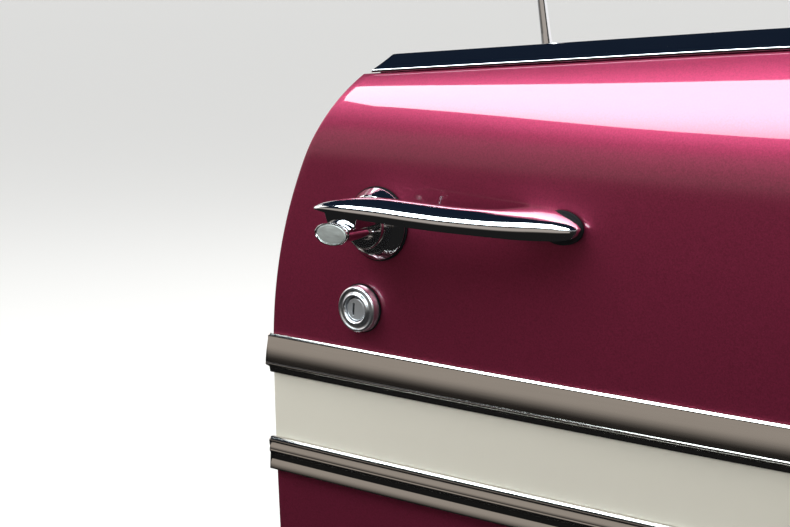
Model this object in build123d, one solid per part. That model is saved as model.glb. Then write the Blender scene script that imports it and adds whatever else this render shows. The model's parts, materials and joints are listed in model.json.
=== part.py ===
"""Right-hand front door of a 1950s convertible, complete with its hinges, outer handle, lock,
mouldings, vent window, lowered glass and inner trim.

Frame: millimetres. The origin is the centre of the upper hinge's pillar pad, on the pad's face.
+X points to the car's front, +Y inboard, +Z up. The painted skin faces -Y.
"""
from build123d import *
from math import asin, cos, pi as PI, radians, sin, sqrt
import os

# Hinges: the pin's place, the pad that bolts to the pillar, and how far down the second one is
PIN_X = -58.0
PIN_Y = -42.0
PIN_R = 5.0
PIN_FIT = 0.03
KNUCKLE_R = 9.0
PAD_T = 5.0
PAD_HALF_Y = 23.0
PAD_HALF_Z = 36.0
PAD_HOLES_Y = 30.0
PAD_HOLES_Z = 46.0
PAD_HOLE_R = 5.25
LUG_HALF_Z = 15.0
EAR_GAP = 1.0
EAR_T = 12.0
ARM_T = 8.0
ARM_Y = -18.0
LOWER_DROP = 350.0
LEAF_EDGE = 9.0
LEAF_W = 64.0
LEAF_HOLES = (16.0, 46.0)
LEAF_HOLE_R = 4.25
LEAF_CORNER_R = 8.0
LUG_HALF_Y = 8.0
PIN_HEAD_R = 7.5
PIN_END = 4.0

# Door outline seen from the side
SKIN_FRONT_X = -26.0
DOOR_LENGTH = 1139.5
REAR_X = SKIN_FRONT_X - DOOR_LENGTH
BELT_Z = 168.0
BELT_BEND_FROM_REAR = 645.5
BELT_BEND_X = REAR_X + BELT_BEND_FROM_REAR
BELT_BEND_R = 4300.0
BELT_SLOPE = 4.7
SKIN_BOTTOM_Z = -482.0
FRONT_CORNER_R = 40.0
REAR_CORNER_R = 55.0
REAR_SWEEP_R = 308.0
REAR_SWEEP_Z = -44.0
OUTLINE_TOP_Z = BELT_Z + 18.0

# Outer surface: shoulder radius and slope at the belt, the flat barrel below, the tucked bottom
SIDE_Y = -84.0
SIDE_R = 2600.0
WIDEST_Z = -8.0
PLAN_BEND_FROM_REAR = 405.5
PLAN_BEND_X = REAR_X + PLAN_BEND_FROM_REAR
PLAN_R = 9400.0
SHOULDER_R_FRONT = 150.0
SHOULDER_R_REAR = 52.0
BELT_ANGLE_FRONT = 45.0
BELT_ANGLE_REAR = 52.0
SHOULDER_MID_ANGLE = 25.0
SHOULDER_END_ANGLE = 2.0
REAR_BLEND = 420.0
TUCK_TOP_Z = -440.0
TUCK_R = 150.0
TUCK_ANGLE = -28.0

# Sheet metal
SKIN_T = 1.2
HEM_WIDTH = 12.0
PANEL_T = 1.5
PANEL_GAP = 0.3
JAMB_FRONT_INSET = 48.0
JAMB_REAR_INSET = 16.0
JAMB_BOTTOM_INSET = 16.0
INNER_Y = 46.0
PANEL_TOP_DROP = 16.0
ACCESS_HOLE_W = 108.0
ACCESS_HOLE_H = 150.0
ACCESS_HOLE_R = 30.0
ACCESS_HOLE_Z = -250.0
ACCESS_HOLES = (0.197, 0.469, 0.749)
SEAT_GAP = 0.3

# Belt: moulding, glass slot and garnish, measured inboard from the belt edge or from the centre plane
BELT_MOULD_W = 13.0
BELT_RISE_FRONT = 11.8
BELT_RISE_REAR = 10.8
BELT_LIP_DROP = 8.0
BELT_WALL = 1.5
GLASS_Y = -22.0
GLASS_GAP = 0.5
SWEEP_T = 2.6
SWEEP_TOP = 1.5
SWEEP_H = 6.5
INNER_SWEEP_TOP = 3.0
GLASS_T = 5.6
GLASS_TOP = 14.0
GLASS_H = 406.0
GARNISH_Y = -13.0
GARNISH_FLAT = 26.0
GARNISH_RISE = 5.0
GARNISH_DROP = 46.0
GARNISH_T = 2.0
GLASS_FROM_REAR = 82.0

# Side mouldings
UPPER_MOULD_TOP_Z = -33.0
UPPER_MOULD_H = 26.5
UPPER_MOULD_T = 6.0
CREAM_H = 40.6
LOWER_MOULD_H = 22.4
LOWER_MOULD_T = 5.0
MOULD_OVERHANG = 2.0

# Outer handle and lock
HANDLE_Z = 46.3
HANDLE_FROM_REAR = 87.5
ROSETTE_R = 21.7
ROSETTE_RIM = 2.6
RING_1_R = 17.2
RING_1_OUT = 9.2
RING_2_R = 14.6
RING_2_OUT = 15.6
RING_DIP = 1.4
WEB_TOP_X = (-12.0, 14.5)
WEB_LOW_X = (-8.0, 11.0)
WEB_Z = (0.8, 12.0)
WEB_OUT = 38.0
BUTTON_W = 26.0
BUTTON_H = 13.4
BUTTON_BACK = 2.6
BUTTON_DROP = 1.3
BUTTON_OUT = 42.0
BUTTON_RIM = 1.5
BUTTON_GAP = 0.4
BUTTON_SEAT = 24.0
FOOT_X = 128.0
FOOT_LIFT = 12.2
FOOT_W = 32.0
FOOT_H = 17.0
FOOT_GASKET_EDGE = 1.2
LOCK_DROP = 53.3
LOCK_BACK = 12.5
LOCK_R = 14.2
LOCK_H = 7.0
LOCK_PLUG_R = 7.2
GASKET_T = 1.2

# Vent window
VENT_FRONT_X = -64.0
VENT_LENGTH = 285.0
VENT_H = 330.0
VENT_BAR = 16.0
VENT_RAKE = 95.0
VENT_GLASS_T = 5.0
VENT_RUN_DROP = 330.0
VENT_RUN_W = 12.0
VENT_SEAL_W = 2.7
VENT_WING_W = 6.7

# Latch
LATCH_Z = -90.0
LATCH_R = 15.0
LATCH_Y = 0.0
CASE_T = 5.0
CASE_HALF_Y = 22.0
CASE_ABOVE = 30.0
CASE_BELOW = 42.0
ROTOR_T = 7.7
ROTOR_TEETH = 6
TOOTH_R = 4.0
WEDGE_T = 13.0
WEDGE_HALF_Y = 9.0
WEDGE_TOP = 50.0
WEDGE_H = 46.0

# Inner trim
TRIM_T = 5.0
TRIM_MARGIN = 12.0
BAND_Z = 20.0
KICK_Z = -330.0
STRIP_H = 9.0
STRIP_T = 3.7
PLEAT_PITCH = 36.0
PLEAT_R = 3.0
PLEAT_DEPTH = 1.4
PLEAT_MARGIN = 22.0
ARMREST_X = -640.0
ARMREST_LENGTH = 330.0
ARMREST_DEPTH = 62.0
ARMREST_H = 58.0
ARMREST_TOP_Z = -30.0
ARMREST_CORNER_R = 24.0
ARMREST_TOP_R = 10.0
BASE_INSET = 8.0
BASE_H = 8.7
LEVER_PLATE_R = 24.0
LEVER_PLATE_T = 4.0
LEVER_BOSS_R = 12.0
LEVER_BOSS_H = 22.0
LEVER_ARM_R = 10.0
LEVER_TIP_R = 7.5
LEVER_ARM_OUT = 14.5
LEVER_ARM_T = 7.0
LEVER_EDGE_R = 2.0
CRANK_KNOB_R = 11.0
CRANK_KNOB_H = 24.0
CRANK_ANGLE = 35.0
CRANK_CLEAR = 46.0
CRANK_Z = -20.0
CRANK_REACH = 105.0
PULL_X = -760.0
PULL_Z = 60.0
PULL_REACH = 95.0
LOCK_KNOB_FROM_REAR = 159.5
LOCK_KNOB_Y = -3.0
LOCK_KNOB_H = 54.0
LOCK_KNOB_LEAN = 9.0
LOCK_KNOB_R = 3.5
LOCK_KNOB_NECK_R = 2.4
LOCK_KNOB_BALL_R = 5.0

SHEET_D = 2 * SKIN_T
PANEL_D = SHEET_D + PANEL_GAP
# Sections of the lofts: one beyond each end of the door, and the others by their share of its length
BEYOND = 12.0
STATION_SHARES = (0.267, 0.504, 0.679, 0.802, 0.907)
STATIONS = [SKIN_FRONT_X + BEYOND, *(SKIN_FRONT_X - share * DOOR_LENGTH for share in STATION_SHARES), REAR_X - BEYOND]

os.makedirs("parts", exist_ok=True)


def save(shape, node):
    """Writes one node's solids."""
    solids = shape.solids() if hasattr(shape, "solids") else ShapeList(shape)
    export_step(solids[0] if len(solids) == 1 else Compound(children=list(solids)), f"parts/{node}.step")


def box(x0, x1, y0, y1, z0, z1):
    """A block between two corners."""
    size = (x1 - x0, y1 - y0, z1 - z0)
    return Pos((x0 + x1) / 2, (y0 + y1) / 2, (z0 + z1) / 2) * Box(*size)


def rod(x, y, z0, z1, r):
    """A vertical round bar."""
    return Pos(x, y, (z0 + z1) / 2) * Cylinder(r, z1 - z0)


def cross_rod(x, z, y0, y1, r):
    """A round bar that lies along Y."""
    return Pos(x, (y0 + y1) / 2, z) * Rot(90, 0, 0) * Cylinder(r, y1 - y0)


def along_rod(y, z, x0, x1, r):
    """A round bar that lies along X."""
    return Pos((x0 + x1) / 2, y, z) * Rot(0, 90, 0) * Cylinder(r, x1 - x0)


# The outer surface as formulas of X


def rear_share(x):
    """0 along most of the door, rising smoothly to 1 at its rear edge."""
    u = max(0.0, 1 - (x - REAR_X) / REAR_BLEND)
    return u * u * (3 - 2 * u) if u < 1 else 1.0


def belt_z(x):
    """Height of the belt edge: level, then a long arc, then a slope down to the rear."""
    back = BELT_BEND_X - x
    bend = BELT_BEND_R * sin(radians(BELT_SLOPE))
    if back <= 0:
        return BELT_Z
    if back < bend:
        return BELT_Z - BELT_BEND_R + sqrt(BELT_BEND_R ** 2 - back ** 2)
    low = BELT_Z - BELT_BEND_R * (1 - cos(radians(BELT_SLOPE)))
    return low - (back - bend) * sin(radians(BELT_SLOPE)) / cos(radians(BELT_SLOPE))


def side_y(x):
    """Outermost Y of the side: straight, then a long arc inboard towards the rear."""
    return SIDE_Y + max(0.0, PLAN_BEND_X - x) ** 2 / (2 * PLAN_R)


def surface(x):
    """The section's arcs, from the belt edge down: centre, radius, first and last normal angle."""
    share = rear_share(x)
    upper_r = SHOULDER_R_FRONT + (SHOULDER_R_REAR - SHOULDER_R_FRONT) * share
    top = BELT_ANGLE_FRONT + (BELT_ANGLE_REAR - BELT_ANGLE_FRONT) * share
    end, mid = SHOULDER_END_ANGLE, SHOULDER_MID_ANGLE
    side_c = (side_y(x) + SIDE_R, WIDEST_Z)
    end_z = WIDEST_Z + SIDE_R * sin(radians(end))
    fall = belt_z(x) - end_z - upper_r * (sin(radians(top)) - sin(radians(mid)))
    lower_r = fall / (sin(radians(mid)) - sin(radians(end)))
    lower_c = shift(side_c, SIDE_R - lower_r, end)
    upper_c = shift(lower_c, lower_r - upper_r, mid)
    tuck = degrees_at(TUCK_TOP_Z)
    tuck_c = shift(side_c, SIDE_R - TUCK_R, tuck)
    return [(upper_c, upper_r, top, mid), (lower_c, lower_r, mid, end),
            (side_c, SIDE_R, end, tuck), (tuck_c, TUCK_R, tuck, TUCK_ANGLE)]


def shift(centre, distance, angle):
    """A point moved outwards along the normal of that angle."""
    return (centre[0] - distance * cos(radians(angle)), centre[1] + distance * sin(radians(angle)))


def degrees_at(z):
    """The side's normal angle at a height."""
    return asin((z - WIDEST_Z) / SIDE_R) * 180 / PI


def belt_y(x):
    """Y of the belt edge."""
    (centre, r, top, _), *_ = surface(x)
    return shift(centre, r, top)[0]


def skin_y(x, z, out=0.0):
    """Y of the side at a height below the shoulder, moved outwards."""
    angle = degrees_at(z)
    return side_y(x) + SIDE_R - (SIDE_R + out) * cos(radians(angle))


def at(x, yz):
    """A point of a section."""
    return (x, yz[0], yz[1])


def surface_edges(x, depth, over=0.0):
    """Edges of the outer surface's section, moved inboard by a depth, from top to bottom."""
    arcs = surface(x)
    edges = []
    for i, (centre, r, first, last) in enumerate(arcs):
        first = first + over if i == 0 else first
        last = last - over if i == len(arcs) - 1 else last
        ends = [at(x, shift(centre, r - depth, a)) for a in (first, (first + last) / 2, last)]
        edges.append(ThreePointArc(*ends))
    return edges


def closed(edges_out, edges_in):
    """A wire of one chain, a second chain with the same direction, and a line at each end."""
    top = Line(edges_out[0] @ 0, edges_in[0] @ 0)
    bottom = Line(edges_out[-1] @ 1, edges_in[-1] @ 1)
    return Wire([*edges_out, bottom, *edges_in, top])


def sheet(depth, depth_in, over=0.0):
    """The layer of the surface between two depths, over the whole length."""
    return Solid.make_loft([closed(surface_edges(x, depth, over), surface_edges(x, depth_in, over))
                            for x in STATIONS])


def block(depth, y_in):
    """Everything from a depth behind the surface to a plane inside."""
    wires = []
    for x in STATIONS:
        edges = surface_edges(x, depth)
        first, last = edges[0] @ 0, edges[-1] @ 1
        corners = [(x, y_in, first.Z), (x, y_in, last.Z)]
        lines = [Line(first, corners[0]), Line(corners[0], corners[1]), Line(corners[1], last)]
        wires.append(Wire([*edges, *lines]))
    return Solid.make_loft(wires)


def outline(front, rear, bottom, y0=-200.0, y1=120.0):
    """The side-view outline, moved in by three insets and carried across the door."""
    x1, x0, z0 = SKIN_FRONT_X - front, REAR_X + rear, SKIN_BOTTOM_Z + bottom
    rf, rr = FRONT_CORNER_R - min(front, bottom), REAR_CORNER_R - min(rear, bottom)
    sweep = REAR_SWEEP_R - rear
    rise = OUTLINE_TOP_Z - REAR_SWEEP_Z
    k = sqrt(0.5)
    swept = lambda dz: (x0 + sweep - sqrt(sweep ** 2 - dz ** 2), y0, REAR_SWEEP_Z + dz)
    edges = [Line((x1, y0, OUTLINE_TOP_Z), (x1, y0, z0 + rf)),
             ThreePointArc((x1, y0, z0 + rf), (x1 - rf * (1 - k), y0, z0 + rf * (1 - k)), (x1 - rf, y0, z0)),
             Line((x1 - rf, y0, z0), (x0 + rr, y0, z0)),
             ThreePointArc((x0 + rr, y0, z0), (x0 + rr * (1 - k), y0, z0 + rr * (1 - k)), (x0, y0, z0 + rr)),
             Line((x0, y0, z0 + rr), (x0, y0, REAR_SWEEP_Z)),
             ThreePointArc(swept(0), swept(rise / 2), swept(rise)),
             Line(swept(rise), (x1, y0, OUTLINE_TOP_Z))]
    return extrude(Face(Wire(edges)), amount=y1 - y0, dir=(0, 1, 0))


def above_belt(drop, z1=400.0, y0=-200.0, y1=120.0):
    """Everything above a line that runs below the belt edge by a drop."""
    xf, xr = SKIN_FRONT_X + 60, REAR_X - 60
    xb = BELT_BEND_X - BELT_BEND_R * sin(radians(BELT_SLOPE))
    mid = (BELT_BEND_X + xb) / 2
    p = lambda x: (x, y0, belt_z(x) - drop)
    edges = [Line(p(xf), p(BELT_BEND_X)), ThreePointArc(p(BELT_BEND_X), p(mid), p(xb)), Line(p(xb), p(xr)),
             Line(p(xr), (xr, y0, z1)), Line((xr, y0, z1), (xf, y0, z1)), Line((xf, y0, z1), p(xf))]
    return extrude(Face(Wire(edges)), amount=y1 - y0, dir=(0, 1, 0))


def section_wire(x, base, angle, profile):
    """A profile's wire at a station. A profile is a list of points (up, out) with None between the
    ends of a line, or the middle point of an arc."""
    up = (sin(radians(angle)), cos(radians(angle)))
    out = (-cos(radians(angle)), sin(radians(angle)))
    put = lambda p: (x, base[0] + p[0] * up[0] + p[1] * out[0], base[1] + p[0] * up[1] + p[1] * out[1])
    edges = []
    for i in range(0, len(profile), 2):
        a, m, b = profile[i], profile[i + 1], profile[(i + 2) % len(profile)]
        edges.append(Line(put(a), put(b)) if m is None else ThreePointArc(put(a), put(m), put(b)))
    return Wire(edges)


def side_strip(profile, top_z, height, x0, x1):
    """A moulding along the side, lofted through the stations between its ends."""
    mid = top_z - height / 2
    strip = Solid.make_loft([section_wire(x, (skin_y(x, mid), mid), degrees_at(mid), profile)
                             for x in STATIONS])
    return strip & box(x0, x1, -200, 0, top_z - height - 10, top_z + 10)


# Painted skin, hemmed at its front, bottom and rear
door_outline = outline(0, 0, 0)
handle_x = REAR_X + HANDLE_FROM_REAR
lock_x = handle_x - LOCK_BACK
lock_z = HANDLE_Z - LOCK_DROP
lock_y = skin_y(lock_x, lock_z)
skin = sheet(0, SHEET_D) & door_outline
skin = skin - (sheet(SKIN_T, SHEET_D + 1, 0.5) & outline(HEM_WIDTH, HEM_WIDTH, HEM_WIDTH))
skin = skin - cross_rod(lock_x, lock_z, lock_y - 20, lock_y + 20, LOCK_PLUG_R + 2.5)
save(skin, "outer_skin")

# Inner panel: flange behind the hem, jamb walls and an inner face with holes for reaching the works
jamb_insets = (JAMB_FRONT_INSET, JAMB_REAR_INSET, JAMB_BOTTOM_INSET)
hollow = outline(*(inset + PANEL_T for inset in jamb_insets), y1=INNER_Y - PANEL_T)
panel = (block(PANEL_D + PANEL_T / 2, INNER_Y) & outline(*jamb_insets)) - hollow
panel = panel + ((sheet(PANEL_D, PANEL_D + PANEL_T) & outline(1.0, 1.0, 1.0)) - hollow)
for share in ACCESS_HOLES:
    hole = extrude(RectangleRounded(ACCESS_HOLE_W, ACCESS_HOLE_H, ACCESS_HOLE_R), 2 * JAMB_BOTTOM_INSET, both=True)
    panel = panel - Pos(SKIN_FRONT_X - share * DOOR_LENGTH, INNER_Y, ACCESS_HOLE_Z) * Rot(90, 0, 0) * hole
panel = panel - above_belt(PANEL_TOP_DROP) - above_belt(GARNISH_DROP - 4, y0=GARNISH_Y - 4)
save(panel, "inner_panel")

# Side mouldings. The upper one has a lip, a face that leans out to a ridge, and a dark return below.
# The lower one has a bead, a cove, a ridge, a second cove and a plain band
h = UPPER_MOULD_H / 2
t = UPPER_MOULD_T
upper_profile = [(h, SEAT_GAP), None, (h, 1.2), None, (h - 3.0, t / 2 + 0.1), None,
                 (h - 3.5, t / 2 - 0.2), (1.0, t - 1.0), (5.6 - h, t), None,
                 (5.0 - h, t - 0.3), (4.2 - h, t + 0.3), (3.4 - h, t - 0.4), None,
                 (1.0 - h, 1.3), None, (-h, 1.1), None, (-h, SEAT_GAP), None]
lower_z = UPPER_MOULD_TOP_Z - UPPER_MOULD_H - CREAM_H
g = LOWER_MOULD_H / 2
d = LOWER_MOULD_T
lower_profile = [(g, SEAT_GAP), None, (g, 1.4), (g - 1.7, d - 0.7), (g - 3.8, d - 2.1), (g - 5.9, d - 1.7),
                 (g - 7.6, d), (g - 10.2, d - 1.5), (g - 13.0, d - 2.2), None, (2.0 - g, d - 0.5), (0.8 - g, d - 1.0),
                 (0.4 - g, 2.6), None, (-g, 1.0), None, (-g, SEAT_GAP), None]
mould_rear = REAR_X - MOULD_OVERHANG
mould_front = SKIN_FRONT_X - 3
save(side_strip(upper_profile, UPPER_MOULD_TOP_Z, UPPER_MOULD_H, mould_rear, mould_front),
     "upper_side_moulding")
save(side_strip(lower_profile, lower_z, LOWER_MOULD_H, mould_rear, mould_front), "lower_side_moulding")


def belt_strip(profile_at):
    """A strip along the belt edge, its profile at X in (up, inboard) from that edge."""
    def wire(x):
        profile = profile_at(x)
        put = lambda p: (x, belt_y(x) + p[1], belt_z(x) + p[0])
        edges = []
        for i in range(0, len(profile), 2):
            a, m, b = profile[i], profile[i + 1], profile[(i + 2) % len(profile)]
            edges.append(Line(put(a), put(b)) if m is None else ThreePointArc(put(a), put(m), put(b)))
        return Wire(edges)
    return Solid.make_loft([wire(x) for x in STATIONS])


def plane_strip(profile, x0, x1, y=0.0):
    """A strip that follows the belt's height in a straight line, its profile in (up, Y)."""
    def wire(x):
        put = lambda p: (x, y + p[1], belt_z(x) + p[0])
        edges = []
        for i in range(0, len(profile), 2):
            a, m, b = profile[i], profile[i + 1], profile[(i + 2) % len(profile)]
            edges.append(Line(put(a), put(b)) if m is None else ThreePointArc(put(a), put(m), put(b)))
        return Wire(edges)
    xs = [x1] + [x for x in STATIONS if x0 + 20 < x < x1 - 20] + [x0]
    return Solid.make_loft([wire(x) for x in xs])


# Belt moulding: a bead over the skin's edge, a flat face that leans in to a crown, a little lower at the
# rear, and a lip down into the glass slot
w = BELT_MOULD_W


def belt_profile(x):
    """The moulding's section at a station."""
    rise = BELT_RISE_FRONT + (BELT_RISE_REAR - BELT_RISE_FRONT) * rear_share(x)
    return [(0.4, 0.4), (1.3, -1.6), (2.8, -0.4), None, (rise - 0.6, w * 0.78), (rise, w * 0.88), (rise - 1.0, w - 0.2),
            None, (rise - 3.0, w), None, (-BELT_LIP_DROP, w), None, (-BELT_LIP_DROP, w - BELT_WALL), None,
            (0.8, w - BELT_WALL), None]


save(belt_strip(belt_profile) & outline(2.0, 1.0, 0), "belt_moulding")
sweep_0, sweep_1 = w + SEAT_GAP, w + SEAT_GAP + SWEEP_T
sweep_low = SWEEP_TOP + SWEEP_H
outer_sweep = [(-SWEEP_TOP, sweep_0), None, (-SWEEP_TOP, sweep_1), None, (-sweep_low, sweep_1), None,
               (-sweep_low, sweep_0), None]
rear_glass_x = REAR_X + GLASS_FROM_REAR
glass_front = VENT_FRONT_X - VENT_LENGTH - 6
sweep = belt_strip(lambda x: outer_sweep) & box(rear_glass_x, glass_front, -200, 50, 0, 300)
save(sweep, "outer_glass_sweep")

# Outer handle: a rosette that climbs in two steps, each with a raised lip, a neck that carries the push
# button, a web from it up to the bar, and a spear-shaped bar that comes down to a foot at its front


def on_skin(shape, x, z):
    """Sets a shape made about the origin, its outer side towards -Y, square to the skin at a point."""
    turn = -max(0.0, PLAN_BEND_X - x) / PLAN_R * 180 / PI
    return Pos(x, skin_y(x, z), z) * Rot(-degrees_at(z), 0, turn) * shape


def oval(x, z, width, height, out0, out1):
    """A bar of oval section that lies along Y, between two distances outwards."""
    face = Pos(x, -out0, z) * Rot(90, 0, 0) * Ellipse(width / 2, height / 2)
    return extrude(face, amount=out1 - out0, dir=(0, -1, 0))


def disc(outer_r, inner_r, out0, out1):
    """A flat ring about the origin, between two distances outwards."""
    ring = Circle(outer_r) if inner_r == 0 else Circle(outer_r) - Circle(inner_r)
    return extrude(Pos(0, -out0, 0) * Rot(90, 0, 0) * ring, amount=out1 - out0, dir=(0, -1, 0))


def lens(x, out, z, height, ridge, back):
    """The bar's section at a station: a ridge outwards, rounded flanks and a flat back."""
    front, top = (x, -out - ridge, z + height * 0.12), (x, -out, z + height / 2)
    rear, low = (x, back - out, z), (x, -out, z - height / 2)
    edges = [ThreePointArc(low, (x, -out - ridge * 0.62, z - height * 0.30), front),
             ThreePointArc(front, (x, -out - ridge * 0.66, z + height * 0.36), top),
             ThreePointArc(top, (x, back * 0.72 - out, z + height * 0.34), rear),
             ThreePointArc(rear, (x, back * 0.72 - out, z - height * 0.34), low)]
    return Wire(edges)


# Each step is given as radius and distance outwards, from the rim to the centre
steps = [(ROSETTE_R, GASKET_T), (ROSETTE_R, ROSETTE_RIM), (ROSETTE_R - 2.2, ROSETTE_RIM + 3.0),
         (RING_1_R + 0.3, RING_1_OUT - 0.8), (RING_1_R - 0.3, RING_1_OUT), (RING_1_R - 1.4, RING_1_OUT - RING_DIP),
         (RING_2_R + 0.6, RING_1_OUT - RING_DIP), (RING_2_R + 0.3, RING_2_OUT - 1.0), (RING_2_R - 0.3, RING_2_OUT),
         (RING_2_R - 2.4, RING_2_OUT - RING_DIP), (0, RING_2_OUT - RING_DIP)]
rosette_face = Face(Wire(Polyline(*[(r, 0, out) for r, out in steps], (0, 0, GASKET_T), close=True)))
rosette = Rot(90, 0, 0) * revolve(rosette_face, Axis.Z)
neck = oval(-BUTTON_BACK, -BUTTON_DROP, BUTTON_W, BUTTON_H, RING_2_OUT - 2, BUTTON_OUT)
bore = oval(-BUTTON_BACK, -BUTTON_DROP, BUTTON_W - 2 * BUTTON_RIM, BUTTON_H - 2 * BUTTON_RIM, BUTTON_SEAT,
            BUTTON_OUT + 1)
bar_table = [
    # forward of the rosette, stand-off, lift, height, ridge, back
    (-17.8, 40.0, 12.9, 1.2, 0.8, 0.6),
    (-10.0, 39.5, 13.8, 7.2, 3.6, 3.4),
    (7.0, 38.5, 14.3, 11.8, 5.2, 5.0),
    (27.0, 36.4, 14.1, 13.2, 5.8, 5.4),
    (52.0, 33.6, 13.0, 13.4, 6.0, 5.5),
    (77.0, 30.4, 12.2, 13.4, 6.0, 5.5),
    (100.0, 26.0, 11.8, 13.4, 5.8, 5.4),
    (121.4, 18.2, 12.0, 13.2, 5.4, 5.0),
    (138.6, 7.5, 12.3, 9.6, 3.6, 3.4),
    (146.0, 3.6, 12.3, 2.4, 1.2, 1.0),
]
bar = Solid.make_loft([lens(*row) for row in bar_table])
web_points = [(WEB_TOP_X[0], WEB_Z[1]), (WEB_TOP_X[1], WEB_Z[1]), (WEB_LOW_X[1], WEB_Z[0]), (WEB_LOW_X[0], WEB_Z[0])]
web_face = make_face(Polyline(*[(x, -ROSETTE_RIM, z) for x, z in web_points], close=True))
web = extrude(web_face, amount=WEB_OUT - ROSETTE_RIM, dir=(0, -1, 0))
foot_x, foot_z = handle_x + FOOT_X, HANDLE_Z + FOOT_LIFT
foot = on_skin(oval(0, 0, FOOT_W, FOOT_H, GASKET_T, 7), foot_x, foot_z)
save(on_skin(rosette + neck + web + bar - bore, handle_x, HANDLE_Z) + foot, "door_handle")
inset = 2 * (BUTTON_RIM + BUTTON_GAP)
button = oval(-BUTTON_BACK, -BUTTON_DROP, BUTTON_W - inset, BUTTON_H - inset, BUTTON_SEAT + SEAT_GAP, BUTTON_OUT)
save(on_skin(button, handle_x, HANDLE_Z), "push_button")
gasket_out = GASKET_T - 0.2
save(on_skin(disc(ROSETTE_R + 1.0, 0, SEAT_GAP, gasket_out), handle_x, HANDLE_Z), "handle_rear_gasket")
edge = 2 * FOOT_GASKET_EDGE
save(on_skin(oval(0, 0, FOOT_W + edge, FOOT_H + edge, SEAT_GAP, gasket_out), foot_x, foot_z), "handle_front_gasket")

# Lock: a gasket, a bezel with a barrel through the skin, and the plug with its key slot
plug_bore = LOCK_PLUG_R + 0.05
bezel = disc(LOCK_R, plug_bore, GASKET_T, LOCK_H - 0.8) + disc(LOCK_R, LOCK_R - 1.6, GASKET_T, LOCK_H)
bezel = bezel + disc(LOCK_R - 4.0, plug_bore, LOCK_H - 1.5, LOCK_H + 0.6)
bezel = bezel + disc(LOCK_PLUG_R + 1.8, plug_bore, -26, GASKET_T + 1)
save(on_skin(bezel, lock_x, lock_z), "lock_bezel")
key_slot = Rot(0, -6, 0) * box(-0.65, 0.65, -LOCK_H - 1, 5 - LOCK_H, -3.8, 3.8)
plug = disc(LOCK_PLUG_R, 0, -26, LOCK_H - 0.8) - key_slot
save(on_skin(plug, lock_x, lock_z), "lock_plug")
save(on_skin(disc(LOCK_R + 1, LOCK_PLUG_R + 2, SEAT_GAP, GASKET_T - 0.2), lock_x, lock_z), "lock_gasket")

# Lowered glass, its top edge just below the garnish
pane_0, pane_1 = GLASS_Y - GLASS_T / 2, GLASS_Y + GLASS_T / 2
pane_low = GLASS_TOP + GLASS_H
glass = plane_strip([(-GLASS_TOP, pane_0), None, (-GLASS_TOP, pane_1), None, (-pane_low, pane_1), None,
                     (-pane_low, pane_0), None], rear_glass_x, glass_front)
save(glass, "door_glass")
in0, in1 = pane_1 + GLASS_GAP, GARNISH_Y - SEAT_GAP
inner_sweep = [(-INNER_SWEEP_TOP, in0), None, (-INNER_SWEEP_TOP, in1), None, (-GLASS_TOP, in1), None,
               (-GLASS_TOP, in0), None]
save(plane_strip(inner_sweep, rear_glass_x, glass_front), "inner_glass_sweep")

# Garnish moulding: a flat sill with rounded edges that turns down to the trim panel
g0 = GARNISH_Y
g1 = GARNISH_Y + GARNISH_FLAT
gi = INNER_Y + PANEL_GAP + TRIM_T + 0.6 + 2
drop = GARNISH_DROP
up = GARNISH_RISE
garnish_top = [(-6.0, g0), None, (up - 2.0, g0), (up - 0.6, g0 + 1.4), (up + 0.8, g0 + 4), (up + 1.6, (g0 + g1) / 2),
               (up + 0.4, g1), (-10.0, g1 + 28), (-drop, gi), None]
garnish_outer = garnish_top + [(-drop, gi - GARNISH_T), None, (-drop + 8, gi - 10), None]
garnish_inner = [(-7.0, g0 + GARNISH_T), None, (up - 1.2, g0 + GARNISH_T), None, (up - 0.8, g0 + 4), None,
                 (up - GARNISH_T + 0.6, g1 - 1), (-11.5, g1 + 25), (-drop - 1, gi - GARNISH_T), None,
                 (-drop - 1, gi - 11), None]
garnish_ends = (36.0, 13.0, 0.0)
cut_ends = [inset + GARNISH_T for inset in garnish_ends]
garnish = plane_strip(garnish_outer, REAR_X, SKIN_FRONT_X) & outline(*garnish_ends)
garnish = garnish - (plane_strip(garnish_inner, REAR_X, SKIN_FRONT_X) & outline(*cut_ends))

# Inside lock knob: a stem that leans to the rear and narrows up to a ball, through a ferrule in the garnish
knob_x = REAR_X + LOCK_KNOB_FROM_REAR
knob_z = belt_z(knob_x) + GARNISH_RISE
knob_axis = Pos(knob_x, LOCK_KNOB_Y, knob_z) * Rot(0, -LOCK_KNOB_LEAN, 0)
save(garnish - knob_axis * rod(0, 0, -30, 30, LOCK_KNOB_R + 2.2), "garnish_moulding")
ferrule = rod(0, 0, -7, 3.0, LOCK_KNOB_R + 1.8) + rod(0, 0, 2.4, 3.8, LOCK_KNOB_R + 4.0)
save(knob_axis * (ferrule - rod(0, 0, -30, 30, LOCK_KNOB_R + 0.2)), "lock_knob_ferrule")
ball_z = LOCK_KNOB_H - LOCK_KNOB_BALL_R
knob = rod(0, 0, -60, 0, LOCK_KNOB_R) + Pos(0, 0, ball_z) * Sphere(LOCK_KNOB_BALL_R)
knob = knob + Pos(0, 0, ball_z / 2) * Cone(LOCK_KNOB_R, LOCK_KNOB_NECK_R, ball_z)
save(knob_axis * knob, "lock_knob")

# Vent window: a frame of channel that stands on the door, with a raked front and a division bar
vent_rear = VENT_FRONT_X - VENT_LENGTH
vent_top = BELT_Z + VENT_H
frame_y0, frame_y1 = GLASS_Y - 5.7, GARNISH_Y - SEAT_GAP


def in_plane(points, y0, y1, radii=None):
    """A plate in the glass plane with the given side-view corners."""
    path = Polyline(*[(x, y0, z) for x, z in points], close=True)
    face = make_face(path) if radii is None else Face(Wire(FilletPolyline(
        *[(x, y0, z) for x, z in points], radius=radii, close=True).edges()))
    return extrude(face, amount=y1 - y0, dir=(0, 1, 0))


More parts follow.
